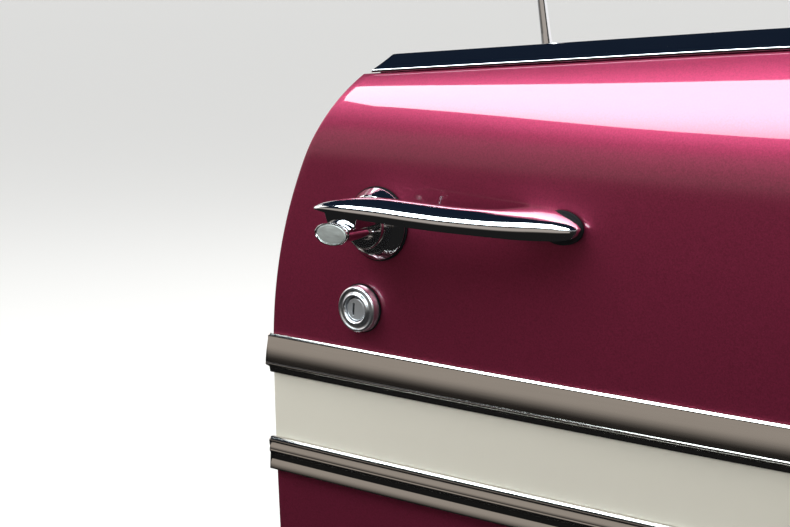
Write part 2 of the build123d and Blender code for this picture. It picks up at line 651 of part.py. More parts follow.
def vent_outline(inset, y0, y1):
    """The vent's outline: its front edge leans back towards the top."""
    lean = VENT_RAKE / VENT_H
    low, high = BELT_Z - 6 + inset, vent_top - inset
    front = lambda z: VENT_FRONT_X - inset * 1.05 - (z - BELT_Z) * lean
    corners = [(front(low), low), (front(high), high), (vent_rear + inset, high), (vent_rear + inset, low)]
    return in_plane(corners, y0, y1, 14.0 if inset < VENT_BAR else 10.0)


vent_frame = vent_outline(0, frame_y0, frame_y1) - vent_outline(VENT_BAR, frame_y0 - 1, frame_y1 + 1)
run_x, run_low = vent_rear + 2, BELT_Z - VENT_RUN_DROP
vent_frame = vent_frame + box(run_x, run_x + VENT_RUN_W, GLASS_Y - 5, GLASS_Y + 5, run_low, BELT_Z + 4)
run_slot = box(vent_rear - 1, run_x + VENT_RUN_W / 3, pane_0 - 0.4, pane_1 + 0.4, run_low - 10, vent_top + 1)
save(vent_frame - run_slot, "vent_frame")
seal_0 = VENT_BAR + SEAT_GAP
seal_1 = seal_0 + VENT_SEAL_W
wing_0 = seal_1 + SEAT_GAP
wing_1 = wing_0 + VENT_WING_W
seal = vent_outline(seal_0, GLASS_Y - 5, GLASS_Y + 4) - vent_outline(seal_1, GLASS_Y - 6, GLASS_Y + 5)
save(seal, "vent_seal")
wing_frame = vent_outline(wing_0, GLASS_Y - 4, GLASS_Y + 3) - vent_outline(wing_1, GLASS_Y - 6, GLASS_Y + 5)
save(wing_frame, "vent_wing_frame")
wing_y = GLASS_Y - 0.5
save(vent_outline(wing_1 + 0.2, wing_y - VENT_GLASS_T / 2, wing_y + VENT_GLASS_T / 2), "vent_glass")
latch_x, latch_z = vent_rear + wing_0 + VENT_WING_W / 2, BELT_Z + 60
vent_latch = cross_rod(latch_x, latch_z, GLASS_Y + 3.3, GLASS_Y + 14, 3.2) + \
    box(latch_x - 4, latch_x + 5, GLASS_Y + 11, GLASS_Y + 16, latch_z - 30, latch_z + 5)
save(vent_latch, "vent_latch")

# Hinges: a pillar leaf with two ears and a door leaf with one lug, about one vertical pin axis
door_face_x = SKIN_FRONT_X - JAMB_FRONT_INSET
leaf_face_x = door_face_x + PAD_T
lug_z, ear_z = LUG_HALF_Z, LUG_HALF_Z + EAR_GAP
for name, z in (("upper", 0.0), ("lower", -LOWER_DROP)):
    pad = box(-PAD_T, 0, -PAD_HALF_Y, PAD_HALF_Y, z - PAD_HALF_Z, z + PAD_HALF_Z)
    pad = fillet(pad.edges().filter_by(Axis.X), LEAF_CORNER_R)
    for side in (-1, 1):
        for up in (-1, 1):
            pad = pad - along_rod(side * PAD_HOLES_Y / 2, z + up * PAD_HOLES_Z / 2, -PAD_T - 1, 1, PAD_HOLE_R)
    for up in (-1, 1):
        z0, z1 = sorted((z + up * ear_z, z + up * (ear_z + EAR_T)))
        run = box(PIN_X - ARM_T / 2, -PAD_T, ARM_Y, ARM_Y + ARM_T, z0, z1)
        arm = box(PIN_X - ARM_T / 2, PIN_X + ARM_T / 2, PIN_Y, ARM_Y + ARM_T, z0, z1)
        pad = pad + run + arm + rod(PIN_X, PIN_Y, z0, z1, KNUCKLE_R)
    pad = pad - rod(PIN_X, PIN_Y, z - 60, z + 60, PIN_R + PIN_FIT)
    save(pad, f"{name}_hinge_pillar_leaf")
    leaf_y = PIN_Y - LEAF_EDGE
    leaf = box(door_face_x + SEAT_GAP, leaf_face_x, leaf_y, leaf_y + LEAF_W, z - PAD_HALF_Z, z + PAD_HALF_Z)
    leaf = fillet(leaf.edges().filter_by(Axis.X), LEAF_CORNER_R)
    leaf = leaf + box(leaf_face_x - 1, PIN_X, PIN_Y - LUG_HALF_Y, PIN_Y + LUG_HALF_Y, z - lug_z, z + lug_z)
    leaf = leaf + rod(PIN_X, PIN_Y, z - lug_z, z + lug_z, KNUCKLE_R)
    leaf = leaf - rod(PIN_X, PIN_Y, z - 60, z + 60, PIN_R + PIN_FIT)
    for y in LEAF_HOLES:
        for up in (-1, 1):
            leaf = leaf - along_rod(PIN_Y + y, z + up * PAD_HOLES_Z / 2, door_face_x - 1, leaf_face_x + 1, LEAF_HOLE_R)
    save(leaf, f"{name}_hinge_door_leaf")
    pin_end = ear_z + EAR_T
    pin = rod(PIN_X, PIN_Y, z - pin_end - PIN_END, z + pin_end + SEAT_GAP, PIN_R) + \
        rod(PIN_X, PIN_Y, z + pin_end + SEAT_GAP, z + pin_end + PIN_END, PIN_HEAD_R)
    save(pin, f"{name}_hinge_pin")

# Latch: a case on the rear jamb, a toothed rotor and a dovetail wedge below it
jamb_rear_x = REAR_X + JAMB_REAR_INSET
case = box(jamb_rear_x - CASE_T, jamb_rear_x - SEAT_GAP, LATCH_Y - CASE_HALF_Y, LATCH_Y + CASE_HALF_Y,
           LATCH_Z - CASE_BELOW, LATCH_Z + CASE_ABOVE)
save(fillet(case.edges().filter_by(Axis.X), LEAF_CORNER_R), "latch_case")
rotor_x = jamb_rear_x - CASE_T - SEAT_GAP
rotor = along_rod(LATCH_Y, LATCH_Z, rotor_x - ROTOR_T, rotor_x, LATCH_R)
for i in range(ROTOR_TEETH):
    tooth_gap = Pos(0, LATCH_Y, LATCH_Z) * Rot(i * 360 / ROTOR_TEETH, 0, 0) * Pos(0, 0, LATCH_R + 0.5) * \
        along_rod(0, 0, rotor_x - ROTOR_T - 1, rotor_x + SEAT_GAP, TOOTH_R)
    rotor = rotor - tooth_gap
save(rotor, "latch_rotor")
wedge = box(jamb_rear_x - WEDGE_T, jamb_rear_x - SEAT_GAP, LATCH_Y - WEDGE_HALF_Y, LATCH_Y + WEDGE_HALF_Y,
            LATCH_Z - WEDGE_TOP - WEDGE_H, LATCH_Z - WEDGE_TOP)
save(fillet(wedge.edges().filter_by(Axis.Y).sort_by(Axis.X)[:2], 3.0), "dovetail_wedge")

# Rubber seal round the jambs, near the inner face
seal_y0, seal_y1 = INNER_Y - 16, INNER_Y - 4
seal = outline(JAMB_FRONT_INSET - 7, JAMB_REAR_INSET - 7, JAMB_BOTTOM_INSET - 7, seal_y0, seal_y1)
seal = seal - outline(*(inset - 0.3 for inset in jamb_insets), seal_y0 - 1, seal_y1 + 1)
seal = seal - above_belt(GARNISH_DROP)
save(seal, "door_weatherstrip")

# Inner trim panel with upright pleats, the band above it, the carpet below it, and a strip over each joint
trim_y0 = INNER_Y + PANEL_GAP
trim_y1 = trim_y0 + TRIM_T
margins = [inset + TRIM_MARGIN for inset in jamb_insets]
trim_face = outline(*margins, trim_y0, trim_y1) - above_belt(GARNISH_DROP - 3)
band = box(REAR_X, 0, trim_y0 - 1, trim_y1 + 1, BAND_Z, 300)
kick = box(REAR_X, 0, trim_y0 - 1, trim_y1 + 1, -600, KICK_Z)
trim = trim_face - band - kick
pleat_low, pleat_high = KICK_Z + PLEAT_MARGIN, BAND_Z - PLEAT_MARGIN
pleat_y = trim_y1 + PLEAT_R - PLEAT_DEPTH
pleat_x = SKIN_FRONT_X - margins[0] - PLEAT_PITCH
while pleat_x > REAR_X + margins[1] + PLEAT_PITCH / 2:
    trim = trim - rod(pleat_x, pleat_y, pleat_low, pleat_high, PLEAT_R)
    pleat_x -= PLEAT_PITCH
save(trim, "trim_panel")
save(trim_face & box(REAR_X, 0, trim_y0 - 1, trim_y1 + 1, BAND_Z + 0.3, 300), "trim_upper_band")
save(trim_face & box(REAR_X, 0, trim_y0 - 1, trim_y1 + 1, -600, KICK_Z - 0.3), "trim_kick_carpet")
strip_y = trim_y1 + SEAT_GAP
strip_face = outline(*(m + 4 for m in margins), strip_y, strip_y + STRIP_T)
for node, z in (("trim_strip_upper", BAND_Z), ("trim_strip_lower", KICK_Z)):
    save(strip_face & box(REAR_X, 0, trim_y1, trim_y1 + 5, z - STRIP_H / 2, z + STRIP_H / 2), node)

# Armrest, its top below the band
rest_x0, rest_x1 = ARMREST_X - ARMREST_LENGTH / 2, ARMREST_X + ARMREST_LENGTH / 2
rest = box(rest_x0, rest_x1, trim_y1 + SEAT_GAP, trim_y1 + ARMREST_DEPTH, ARMREST_TOP_Z - ARMREST_H, ARMREST_TOP_Z)
rest = fillet(rest.edges().filter_by(Axis.Z), ARMREST_CORNER_R)
rest = fillet(rest.faces().sort_by(Axis.Z)[-1].edges().filter_by(Axis.X), ARMREST_TOP_R)
save(rest, "armrest_pad")
base_top = ARMREST_TOP_Z - ARMREST_H - SEAT_GAP
save(box(rest_x0 + BASE_INSET, rest_x1 - BASE_INSET, trim_y1 + SEAT_GAP, trim_y1 + ARMREST_DEPTH - BASE_INSET,
         base_top - BASE_H, base_top), "armrest_base")


def lever(x, z, reach, angle, node, knob):
    """A handle on a round plate and boss: a tapered arm to one side, with or without a knob at its end."""
    y0 = trim_y1 + SEAT_GAP
    handle = cross_rod(x, z, y0, y0 + LEVER_BOSS_H, LEVER_BOSS_R) + cross_rod(x, z, y0, y0 + LEVER_PLATE_T, LEVER_PLATE_R)
    ends = [*Circle(LEVER_ARM_R).edges(), *(Pos(-reach, 0) * Circle(LEVER_TIP_R)).edges()]
    arm = extrude(make_hull(ends), LEVER_ARM_T)
    arm = fillet(arm.edges(), LEVER_EDGE_R)
    arm_y = y0 + LEVER_ARM_OUT
    handle = handle + Pos(x, arm_y + LEVER_ARM_T, z) * Rot(0, angle, 0) * Rot(90, 0, 0) * arm
    if knob:
        tip = (x - reach * cos(radians(angle)), z + reach * sin(radians(angle)))
        top = arm_y + LEVER_ARM_T + 4
        handle = handle + cross_rod(*tip, arm_y, top, LEVER_TIP_R - 1.5)
        knob_y = top + SEAT_GAP
        shape = fillet(cross_rod(*tip, knob_y, knob_y + CRANK_KNOB_H, CRANK_KNOB_R).edges(), 3 * LEVER_EDGE_R)
        save(shape, "crank_knob")
    save(handle, node)


lever(rest_x1 + CRANK_CLEAR, CRANK_Z, CRANK_REACH, CRANK_ANGLE, "window_crank", True)
lever(PULL_X, PULL_Z, PULL_REACH, 0, "inside_handle", False)
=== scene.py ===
"""Front door of a 1950s convertible: finishes, fine shapes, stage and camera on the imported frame.

Sizes in the shape functions are millimetres, in the door's own frame: +X to the car's front, +Y inboard,
+Z up. Meshes are written in metres.
"""

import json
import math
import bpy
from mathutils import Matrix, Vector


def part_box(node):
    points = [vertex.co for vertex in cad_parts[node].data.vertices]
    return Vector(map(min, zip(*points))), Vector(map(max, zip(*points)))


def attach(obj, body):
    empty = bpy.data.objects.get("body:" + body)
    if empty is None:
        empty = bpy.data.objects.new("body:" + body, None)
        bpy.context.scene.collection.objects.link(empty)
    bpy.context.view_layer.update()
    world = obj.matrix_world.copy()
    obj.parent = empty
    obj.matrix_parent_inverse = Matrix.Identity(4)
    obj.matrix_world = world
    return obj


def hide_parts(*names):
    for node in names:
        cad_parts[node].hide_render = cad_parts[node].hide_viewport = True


bl_info = {
    "name": "Convertible front door",
    "version": (1, 0, 0),
    "blender": (4, 5, 0),
    "location": "3D View > Sidebar > Door",
    "description": "Dresses the packed door in paint, bright trim, glass and vinyl, and sets its stage",
    "category": "Object",
}

import bmesh
import bpy
import numpy as np
from bpy.props import FloatProperty, FloatVectorProperty, PointerProperty
from mathutils import Euler, Vector
from mathutils.bvhtree import BVHTree

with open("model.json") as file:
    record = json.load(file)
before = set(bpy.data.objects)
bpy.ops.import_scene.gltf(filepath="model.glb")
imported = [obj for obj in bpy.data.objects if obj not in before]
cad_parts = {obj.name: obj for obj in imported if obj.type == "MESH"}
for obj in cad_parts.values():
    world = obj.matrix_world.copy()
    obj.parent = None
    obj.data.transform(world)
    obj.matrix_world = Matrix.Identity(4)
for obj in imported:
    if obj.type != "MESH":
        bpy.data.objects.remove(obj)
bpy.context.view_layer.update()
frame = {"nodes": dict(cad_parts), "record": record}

# The door's own sizes, as in its solids, and those of the finer forms made here
REAR_X = -1165.5
FRONT_X = -26.0
BELT_Z, BELT_BEND_X, BELT_BEND_R, BELT_SLOPE = 168.0, -520.0, 4300.0, math.radians(4.7)
BOTTOM_Z, FRONT_CORNER_R, REAR_CORNER_R = -482.0, 40.0, 55.0
SWEEP_R, SWEEP_Z = 308.0, -44.0
SIDE_Y, SIDE_R, WIDEST_Z = -84.0, 2600.0, -8.0
PLAN_BEND_X, PLAN_R = -760.0, 9400.0
SHOULDER_R, BELT_ANGLE, REAR_BLEND = (150.0, 52.0), (45.0, 52.0), 420.0
MID_ANGLE, END_ANGLE = 25.0, 2.0
TUCK_Z, TUCK_R = -440.0, 150.0
SEAT_GAP = 0.3
UPPER_TOP_Z, UPPER_H, CREAM_H, LOWER_H, LOWER_DROP = -33.0, 26.5, 40.6, 22.4, 1.4
BELT_MOULD_W, BELT_RISE, BELT_INSET = 13.0, (11.8, 10.8), 6.5
HANDLE_X, HANDLE_Z = -1078.0, 46.3
LOCK_X, LOCK_Z, LOCK_R, LOCK_H = -1090.5, -7.0, 14.2, 7.0
PLUG_R, KEY_X, KEY_W, KEY_H = 6.9, -1.8, 1.3, 7.5
KEY_LEAN, KEY_DEPTH, KEY_EDGE = 5.0, 3.5, 0.25
FOOT_X, FOOT_LIFT = 128.0, 12.2
BUTTON_HALF, BUTTON_AT = (12.6, 6.7), (-1.8, -2.3)
DRAWN_FROM, DRAWN_TO, DRAWN_OUT = 85.0, 125.0, 0.8
WEB_TOP, WEB_LEAN = 12.5, 0.12
TRIM_Y, TRIM_BACK, TRIM_INSET, TRIM_FRONT = 51.3, 46.4, 28.0, 32.0
TRIM_END_X = FRONT_X - TRIM_INSET - TRIM_FRONT
BAND_Z, KICK_Z, BAND_DROP, STRIP_H = 20.0, -330.0, 43.0, 9.0
PLEAT_PITCH, PLEAT_DEPTH, PLEAT_ENDS = 36.0, 2.6, (-308.0, -2.0)
GROOVE_W, STITCH_PITCH = 2.2, 4.2
PIPING_R = 1.9
CRANK_AT, CRANK_REACH, CRANK_ANGLE = (-429.0, -20.0), 105.0, 35.0
PULL_AT, PULL_REACH = (-760.0, 60.0), 95.0
KNOB_X, KNOB_Y, KNOB_LEAN, GARNISH_RISE = -1006.0, -3.0, 9.0, 5.0


# The outer surface


def rear_share(x):
    """0 along most of the door, rising to 1 at the rear edge as the cubic 3u^2 - 2u^3."""
    u = np.clip(1 - (x - REAR_X) / REAR_BLEND, 0, 1)
    return u * u * (3 - 2 * u)


def belt_z(x):
    """Height of the belt edge: level, then an arc of radius BELT_BEND_R, then a straight slope."""
    back = np.maximum(BELT_BEND_X - np.asarray(x, float), 0)
    bend = BELT_BEND_R * math.sin(BELT_SLOPE)
    on_arc = np.minimum(back, bend)
    arc = BELT_Z - BELT_BEND_R + np.sqrt(BELT_BEND_R ** 2 - on_arc ** 2)
    return arc - np.maximum(back - bend, 0) * math.tan(BELT_SLOPE)


def side_y(x):
    """Outermost Y of the side: straight, then a parabola inboard towards the rear."""
    return SIDE_Y + np.maximum(PLAN_BEND_X - np.asarray(x, float), 0) ** 2 / (2 * PLAN_R)


def shoulder(x):
    """Centres (y, z) and radii of the two shoulder arcs at X, and the belt edge's normal angle.
    They join the side's arc at END_ANGLE and each other at MID_ANGLE, and end at the belt's height."""
    share = rear_share(x)
    upper_r = SHOULDER_R[0] + (SHOULDER_R[1] - SHOULDER_R[0]) * share
    top = np.radians(BELT_ANGLE[0] + (BELT_ANGLE[1] - BELT_ANGLE[0]) * share)
    mid, end = math.radians(MID_ANGLE), math.radians(END_ANGLE)
    cy, cz = side_y(x) + SIDE_R, WIDEST_Z
    end_z = WIDEST_Z + SIDE_R * math.sin(end)
    fall = belt_z(x) - end_z - upper_r * (np.sin(top) - math.sin(mid))
    lower_r = fall / (math.sin(mid) - math.sin(end))
    ly, lz = cy - (SIDE_R - lower_r) * math.cos(end), cz + (SIDE_R - lower_r) * math.sin(end)
    uy, uz = ly - (lower_r - upper_r) * math.cos(mid), lz + (lower_r - upper_r) * math.sin(mid)
    return (ly, lz, lower_r), (uy, uz, upper_r), top


def raw_surface(x, z):
    """Y of the outer surface at (X, Z): each height band is an arc about its centre,
    y = cy - sqrt(r^2 - dz^2)."""
    (ly, lz, lr), (uy, uz, ur), _ = shoulder(x)

    def arc(cy, cz, r, reach=0.985):
        dz = np.clip(z - cz, -reach * r, reach * r)
        return cy - np.sqrt(np.maximum(r * r - dz ** 2, 1.0))

    side = arc(side_y(x) + SIDE_R, WIDEST_Z, SIDE_R)
    tuck = math.asin((TUCK_Z - WIDEST_Z) / SIDE_R)
    ty = side_y(x) + SIDE_R - (SIDE_R - TUCK_R) * math.cos(tuck)
    tz = WIDEST_Z + (SIDE_R - TUCK_R) * math.sin(tuck)
    y = np.where(z < TUCK_Z, arc(ty, tz, TUCK_R), side)
    y = np.where(z > lz + lr * math.sin(math.radians(END_ANGLE)), arc(ly, lz, lr), y)
    return np.where(z > uz + ur * math.sin(math.radians(MID_ANGLE)), arc(uy, uz, ur), y)


def surface_y(x, z, reach=5.0):
    """The outer surface with its curvature eased: a Gaussian mean over nearby heights, less the bias that
    a mean gives a curve, half the variance times the second difference."""
    steps = np.linspace(-2, 2, 9)
    weight = np.exp(-0.5 * steps ** 2)
    weight /= weight.sum()

    def mean(dz):
        return sum(w * raw_surface(x, z + dz + reach * s) for w, s in zip(weight, steps))

    centre = mean(0.0)
    variance = float((weight * steps ** 2).sum()) * reach ** 2
    return centre - variance / 2 * (mean(2.0) - 2 * centre + mean(-2.0)) / 4.0


def belt_y(x):
    """Y of the belt edge."""
    _, (uy, _, ur), top = shoulder(x)
    return uy - ur * np.cos(top)


def rear_edge(z, inset=0.0):
    """X of the rear outline at a height: a swept arc above, straight, then the lower corner's arc."""
    up = np.maximum(z - SWEEP_Z, 0)
    r = SWEEP_R - inset
    swept = r - np.sqrt(r * r - np.minimum(up, 0.95 * r) ** 2)
    rc, z0 = REAR_CORNER_R - inset, BOTTOM_Z + inset
    down = np.clip(z0 + rc - z, 0, rc)
    return REAR_X + inset + swept + rc - np.sqrt(rc * rc - down ** 2)


def front_edge(z, inset=0.0):
    """X of the front outline at a height: straight, then the lower corner's arc."""
    rc, z0 = FRONT_CORNER_R - inset, BOTTOM_Z + inset
    down = np.clip(z0 + rc - z, 0, rc)
    return FRONT_X - inset - rc + np.sqrt(rc * rc - down ** 2)


def side_angle(z):
    """Normal angle of the side's arc at a height, in radians above level."""
    return np.arcsin((z - WIDEST_Z) / SIDE_R)


# Meshes from arrays


def make_object(name, mesh):
    """Links a mesh as an object at the origin."""
    piece = bpy.data.objects.new(name, mesh)
    bpy.context.scene.collection.objects.link(piece)
    return piece


def mesh_of(name, points, quads, sharp=40.0, weld=0.002):
    """A mesh of quads from arrays in millimetres. Near points are welded, which closes seams and turns a
    pole's quads into triangles, faces are turned outwards, and edges over an angle stay sharp."""
    mesh = bpy.data.meshes.new(name)
    points, quads = np.asarray(points, float).reshape(-1, 3), np.asarray(quads, int).reshape(-1, 4)
    mesh.vertices.add(len(points))
    mesh.vertices.foreach_set("co", (points * 0.001).ravel())
    mesh.loops.add(quads.size)
    mesh.loops.foreach_set("vertex_index", quads.ravel())
    mesh.polygons.add(len(quads))
    mesh.polygons.foreach_set("loop_start", np.arange(0, quads.size, 4))
    mesh.polygons.foreach_set("loop_total", np.full(len(quads), 4))
    mesh.update(calc_edges=True)
    bm = bmesh.new()
    bm.from_mesh(mesh)
    bmesh.ops.remove_doubles(bm, verts=bm.verts, dist=weld * 0.001)
    bmesh.ops.recalc_face_normals(bm, faces=bm.faces)
    bm.to_mesh(mesh)
    bm.free()
    mesh.shade_smooth()
    mesh.set_sharp_from_angle(angle=math.radians(sharp))
    return mesh


def grid_quads(rows, cols, start=0, wrap_rows=False, wrap_cols=False):
    """Quads of a grid of points numbered row by row. A wrapped direction joins its end to its start."""
    i = np.arange(rows if wrap_rows else rows - 1)[:, None]
    j = np.arange(cols if wrap_cols else cols - 1)[None, :]
    i1, j1 = (i + 1) % rows, (j + 1) % cols
    return start + np.stack([i * cols + j, i1 * cols + j, i1 * cols + j1, i * cols + j1], -1).reshape(-1, 4)


def grid_border(rows, cols):
    """Numbers of a grid's border points, in order round it."""
    last_row = (rows - 1) * cols + np.arange(cols - 2, -1, -1)
    return np.concatenate([np.arange(cols), np.arange(1, rows) * cols + cols - 1, last_row,
                           np.arange(rows - 2, 0, -1) * cols])


def tube(sections):
    """Points and quads of closed loops carried along a path, each end closed by rings that shrink to its
    centre. sections has shape (stations, points round, 3)."""
    sections = np.asarray(sections, float)
    caps = []
    for end in (sections[0], sections[-1]):
        centre = end.mean(0)
        caps.append(centre + (end - centre) * np.array([0.5, 0.0])[:, None, None])
    rings = np.concatenate([caps[0][::-1], sections, caps[1]])
    return rings.reshape(-1, 3), grid_quads(rings.shape[0], rings.shape[1], wrap_cols=True)


def revolve(profile, turns=96, squeeze=(1.0, 1.0)):
    """Points and quads of a profile of (radius, outwards) turned about the outward axis, -Y. squeeze
    multiplies the radius along X and along Z, so that an oval comes from the same profile."""
    profile = np.asarray(profile, float)
    a = np.linspace(0, 2 * math.pi, turns, endpoint=False)
    r, out = profile[:, :1], profile[:, 1:]
    pts = np.stack([r * np.cos(a) * squeeze[0], -out + 0 * a, r * np.sin(a) * squeeze[1]], -1)
    return pts.reshape(-1, 3), grid_quads(len(profile), turns, wrap_cols=True)


def rounded(corners, steps=6):
    """An open path through corners of (a, b, radius): each corner is replaced by points of the arc of that
    radius that touches both its sides."""
    corners = [np.array(c, float) for c in corners]
    path = [corners[0][:2]]
    for before, here, after in zip(corners, corners[1:], corners[2:]):
        r = here[2] if len(here) > 2 else 0.0
        if r <= 0:
            path.append(here[:2])
            continue
        u, v = before[:2] - here[:2], after[:2] - here[:2]
        lu, lv = np.hypot(*u), np.hypot(*v)
        u, v = u / lu, v / lv
        half = math.acos(max(-1.0, min(1.0, float(u @ v)))) / 2
        cut = min(r / math.tan(half), 0.49 * lu, 0.49 * lv)
        r = cut * math.tan(half)
        centre = here[:2] + (u + v) / np.hypot(*(u + v)) * r / math.sin(half)
        a0, a1 = (math.atan2(*(p - centre)[::-1]) for p in (here[:2] + u * cut, here[:2] + v * cut))
        turn = (a1 - a0 + math.pi) % (2 * math.pi) - math.pi
        path += [centre + r * np.array([math.cos(a0 + turn * t), math.sin(a0 + turn * t)])
                 for t in np.linspace(0, 1, steps)]
    path.append(corners[-1][:2])
    return np.array(path)


def bowed(start, end, rise, steps=16):
    """Points of a shallow arc between two points of a profile, bulging to the left of its direction."""
    start, end = np.array(start, float), np.array(end, float)
    t = np.linspace(0, 1, steps)[:, None]
    along = end - start
    across = np.array([-along[1], along[0]]) / np.hypot(*along)
    return start + along * t + across * rise * 4 * t * (1 - t)


def smooth_rows(rows, count):
    """Rows of numbers, the first rising, joined by a monotone cubic so that nothing overshoots."""
    rows = np.array(rows, float)
    x, y = rows[:, 0], rows[:, 1:]
    h = np.diff(x)[:, None]
    d = np.diff(y, axis=0) / h
    slope = np.zeros_like(y)
    same = d[:-1] * d[1:] > 0
    w1, w2 = 2 * h[1:] + h[:-1], h[1:] + 2 * h[:-1]
    safe = np.where(same, d[:-1], 1.0), np.where(same, d[1:], 1.0)
    slope[1:-1] = np.where(same, (w1 + w2) / (w1 / safe[0] + w2 / safe[1]), 0.0)
    slope[0], slope[-1] = d[0], d[-1]
    share = 0.5 - 0.5 * np.cos(np.linspace(0, math.pi, count))
    at = x[0] + (x[-1] - x[0]) * share
    k = np.clip(np.searchsorted(x, at) - 1, 0, len(x) - 2)
    t = ((at - x[k]) / h[k, 0])[:, None]
    value = ((1 + 2 * t) * (1 - t) ** 2 * y[k] + t * (1 - t) ** 2 * h[k] * slope[k]
             + t * t * (3 - 2 * t) * y[k + 1] + t * t * (t - 1) * h[k] * slope[k + 1])
    return np.concatenate([at[:, None], value], 1)


def on_skin(points, x, z):
    """Sets points made about the origin, outwards along -Y, square to the side at (X, Z)."""
    tilt = -float(side_angle(z))
    turn = -max(0.0, PLAN_BEND_X - x) / PLAN_R
    y = float(side_y(x)) + SIDE_R - SIDE_R * math.cos(tilt)
    return np.asarray(points) @ np.array(Euler((tilt, 0, turn)).to_matrix()).T + np.array([x, y, z])


def joined(*parts):
    """Several sets of points and quads as one."""
    start, points, quads = 0, [], []
    for p, q in parts:
        points.append(np.asarray(p, float).reshape(-1, 3))
        quads.append(np.asarray(q) + start)
        start += len(points[-1])
    return np.concatenate(points), np.concatenate(quads)


def dress(piece, look, slot, *nodes):
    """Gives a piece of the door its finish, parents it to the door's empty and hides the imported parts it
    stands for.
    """
    piece.data.materials.clear()
    piece.data.materials.append(finish(look))
    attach(piece, "door")
    if nodes:
        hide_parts(*nodes)


def door_piece(name, points, quads, look, slot, *nodes, sharp=40.0):
    """Makes a piece of the door from points and quads, and dresses it."""
    dress(make_object(name, mesh_of(name, points, quads, sharp)), look, slot, *nodes)


# Finishes


class Term:
    """A value or vector of the shader in an expression. An operator on it adds a Math node."""

    def __init__(self, finish, socket):
        self.finish, self.socket = finish, socket

    def __add__(self, other):
        return self.finish.math("ADD", self, other)

    def __sub__(self, other):
        return self.finish.math("SUBTRACT", self, other)

    def __rsub__(self, other):
        return self.finish.math("SUBTRACT", other, self)

    def __mul__(self, other):
        return self.finish.math("MULTIPLY", self, other)

    def __gt__(self, other):
        return self.finish.math("GREATER_THAN", self, other)

    def __lt__(self, other):
        return self.finish.math("LESS_THAN", self, other)

    __radd__, __rmul__ = __add__, __mul__


class Finish:
    """A material under construction, with one Principled shader."""

    def __init__(self, name, **sockets):
        self.data = bpy.data.materials.new(name)
        self.data.use_nodes = True
        self.nodes, self.links = self.data.node_tree.nodes, self.data.node_tree.links
        self.shader = self.nodes["Principled BSDF"]
        self.put(self.shader, sockets)

    def put(self, node, sockets):
        """Sets or links sockets, named with underscores for spaces or by number."""
        for key, value in sockets.items():
            socket = node.inputs[key if isinstance(key, int) else key.replace("_", " ")]
            if isinstance(value, Term):
                self.links.new(value.socket, socket)
            elif socket.type == "RGBA" and len(value) == 3:
                socket.default_value = (*value, 1.0)
            else:
                socket.default_value = value

    def add(self, kind, output=0, settings=(), **sockets):
        """A node of a kind: its settings first, then its sockets. Returns one of its outputs."""
        node = self.nodes.new(kind)
        for key, value in dict(settings).items():
            setattr(node, key, value)
        self.put(node, {int(k[1:]) if k[:1] == "_" and k[1:].isdigit() else k: v for k, v in sockets.items()})
        return Term(self, node.outputs[output])

    def math(self, operation, a, b=0.0):
        return self.add("ShaderNodeMath", 0, {"operation": operation}, _0=a, _1=b)

    def clamp(self, a):
        return self.add("ShaderNodeClamp", 0, (), Value=a)

    def between(self, value, low, high):
        """0 below low and 1 above high, along a smooth step."""
        return self.add("ShaderNodeMapRange", 0, {"interpolation_type": "SMOOTHSTEP"}, Value=value,
                        From_Min=low, From_Max=high)

    def place(self, scale=(1.0, 1.0, 1.0), turn=(0.0, 0.0, 0.0)):
        """Object coordinates in metres, scaled and turned."""
        at = self.add("ShaderNodeTexCoord", "Object")
        return self.add("ShaderNodeMapping", 0, (), Vector=at, Scale=scale, Rotation=turn)

    def axes(self):
        at = self.add("ShaderNodeTexCoord", "Object")
        split = self.add("ShaderNodeSeparateXYZ", 0, (), Vector=at).socket.node
        return [Term(self, o) for o in split.outputs]

    def noise(self, scale, detail=2.0, rough=0.5, stretch=(1.0, 1.0, 1.0), turn=(0.0, 0.0, 0.0)):
        at = self.place(stretch, turn)
        return self.add("ShaderNodeTexNoise", 0, (), Vector=at, Scale=scale, Detail=detail, Roughness=rough)

    def cells(self, scale, output="Distance", stretch=(1.0, 1.0, 1.0)):
        return self.add("ShaderNodeTexVoronoi", output, (), Vector=self.place(stretch), Scale=scale)

    def mix(self, share, a, b):
        """A colour between two colours."""
        node = self.add("ShaderNodeMix", 2, {"data_type": "RGBA"}).socket.node
        self.put(node, {0: share, 6: a, 7: b})
        return Term(self, node.outputs[2])

    def bump(self, height, depth, strength=1.0):
        return self.add("ShaderNodeBump", 0, (), Height=height, Distance=depth, Strength=strength)

    def wear(self, **sockets):
        """Links what varies to the shader and returns the material."""
        self.put(self.shader, sockets)
        return self.data


def paint_finish(name, plum, cream, banded):
    """Metallic plum under clear coat. Where banded, the strip between the side mouldings is plain cream.
    Small cells give the flake, and a slow noise the faint unevenness of sprayed paint."""
    f = Finish(name, Coat_Weight=1.0, Coat_Roughness=0.03, Coat_IOR=1.6, Specular_IOR_Level=0.5)
    flake = f.cells(1500.0, "Color")
    grain = f.noise(900.0, 1.0)
    drift = f.noise(9.0, 2.0)
    tone = f.clamp(grain * 0.5 + flake * 0.35 + drift * 0.12)
    dark, bright = [c * 0.62 for c in plum], [min(1.0, c * 1.5) for c in plum]
    colour = f.mix(tone, dark, bright)
    metal, rough = tone * 0.1 + 0.74, grain * 0.08 + 0.385
    if banded:
        z = f.axes()[2]
        top = (UPPER_TOP_Z - UPPER_H / 2) * 0.001
        low = (UPPER_TOP_Z - UPPER_H - CREAM_H - LOWER_H / 2) * 0.001
        strip = (z < top) * (z > low)
        pale = f.mix(drift, [c * 0.98 for c in cream], cream)
        colour = f.mix(strip, colour, pale)
        metal = metal * (1 - strip)
        rough = rough * (1 - strip) + strip * 0.34
    return f.wear(Base_Color=colour, Metallic=metal, Roughness=rough)


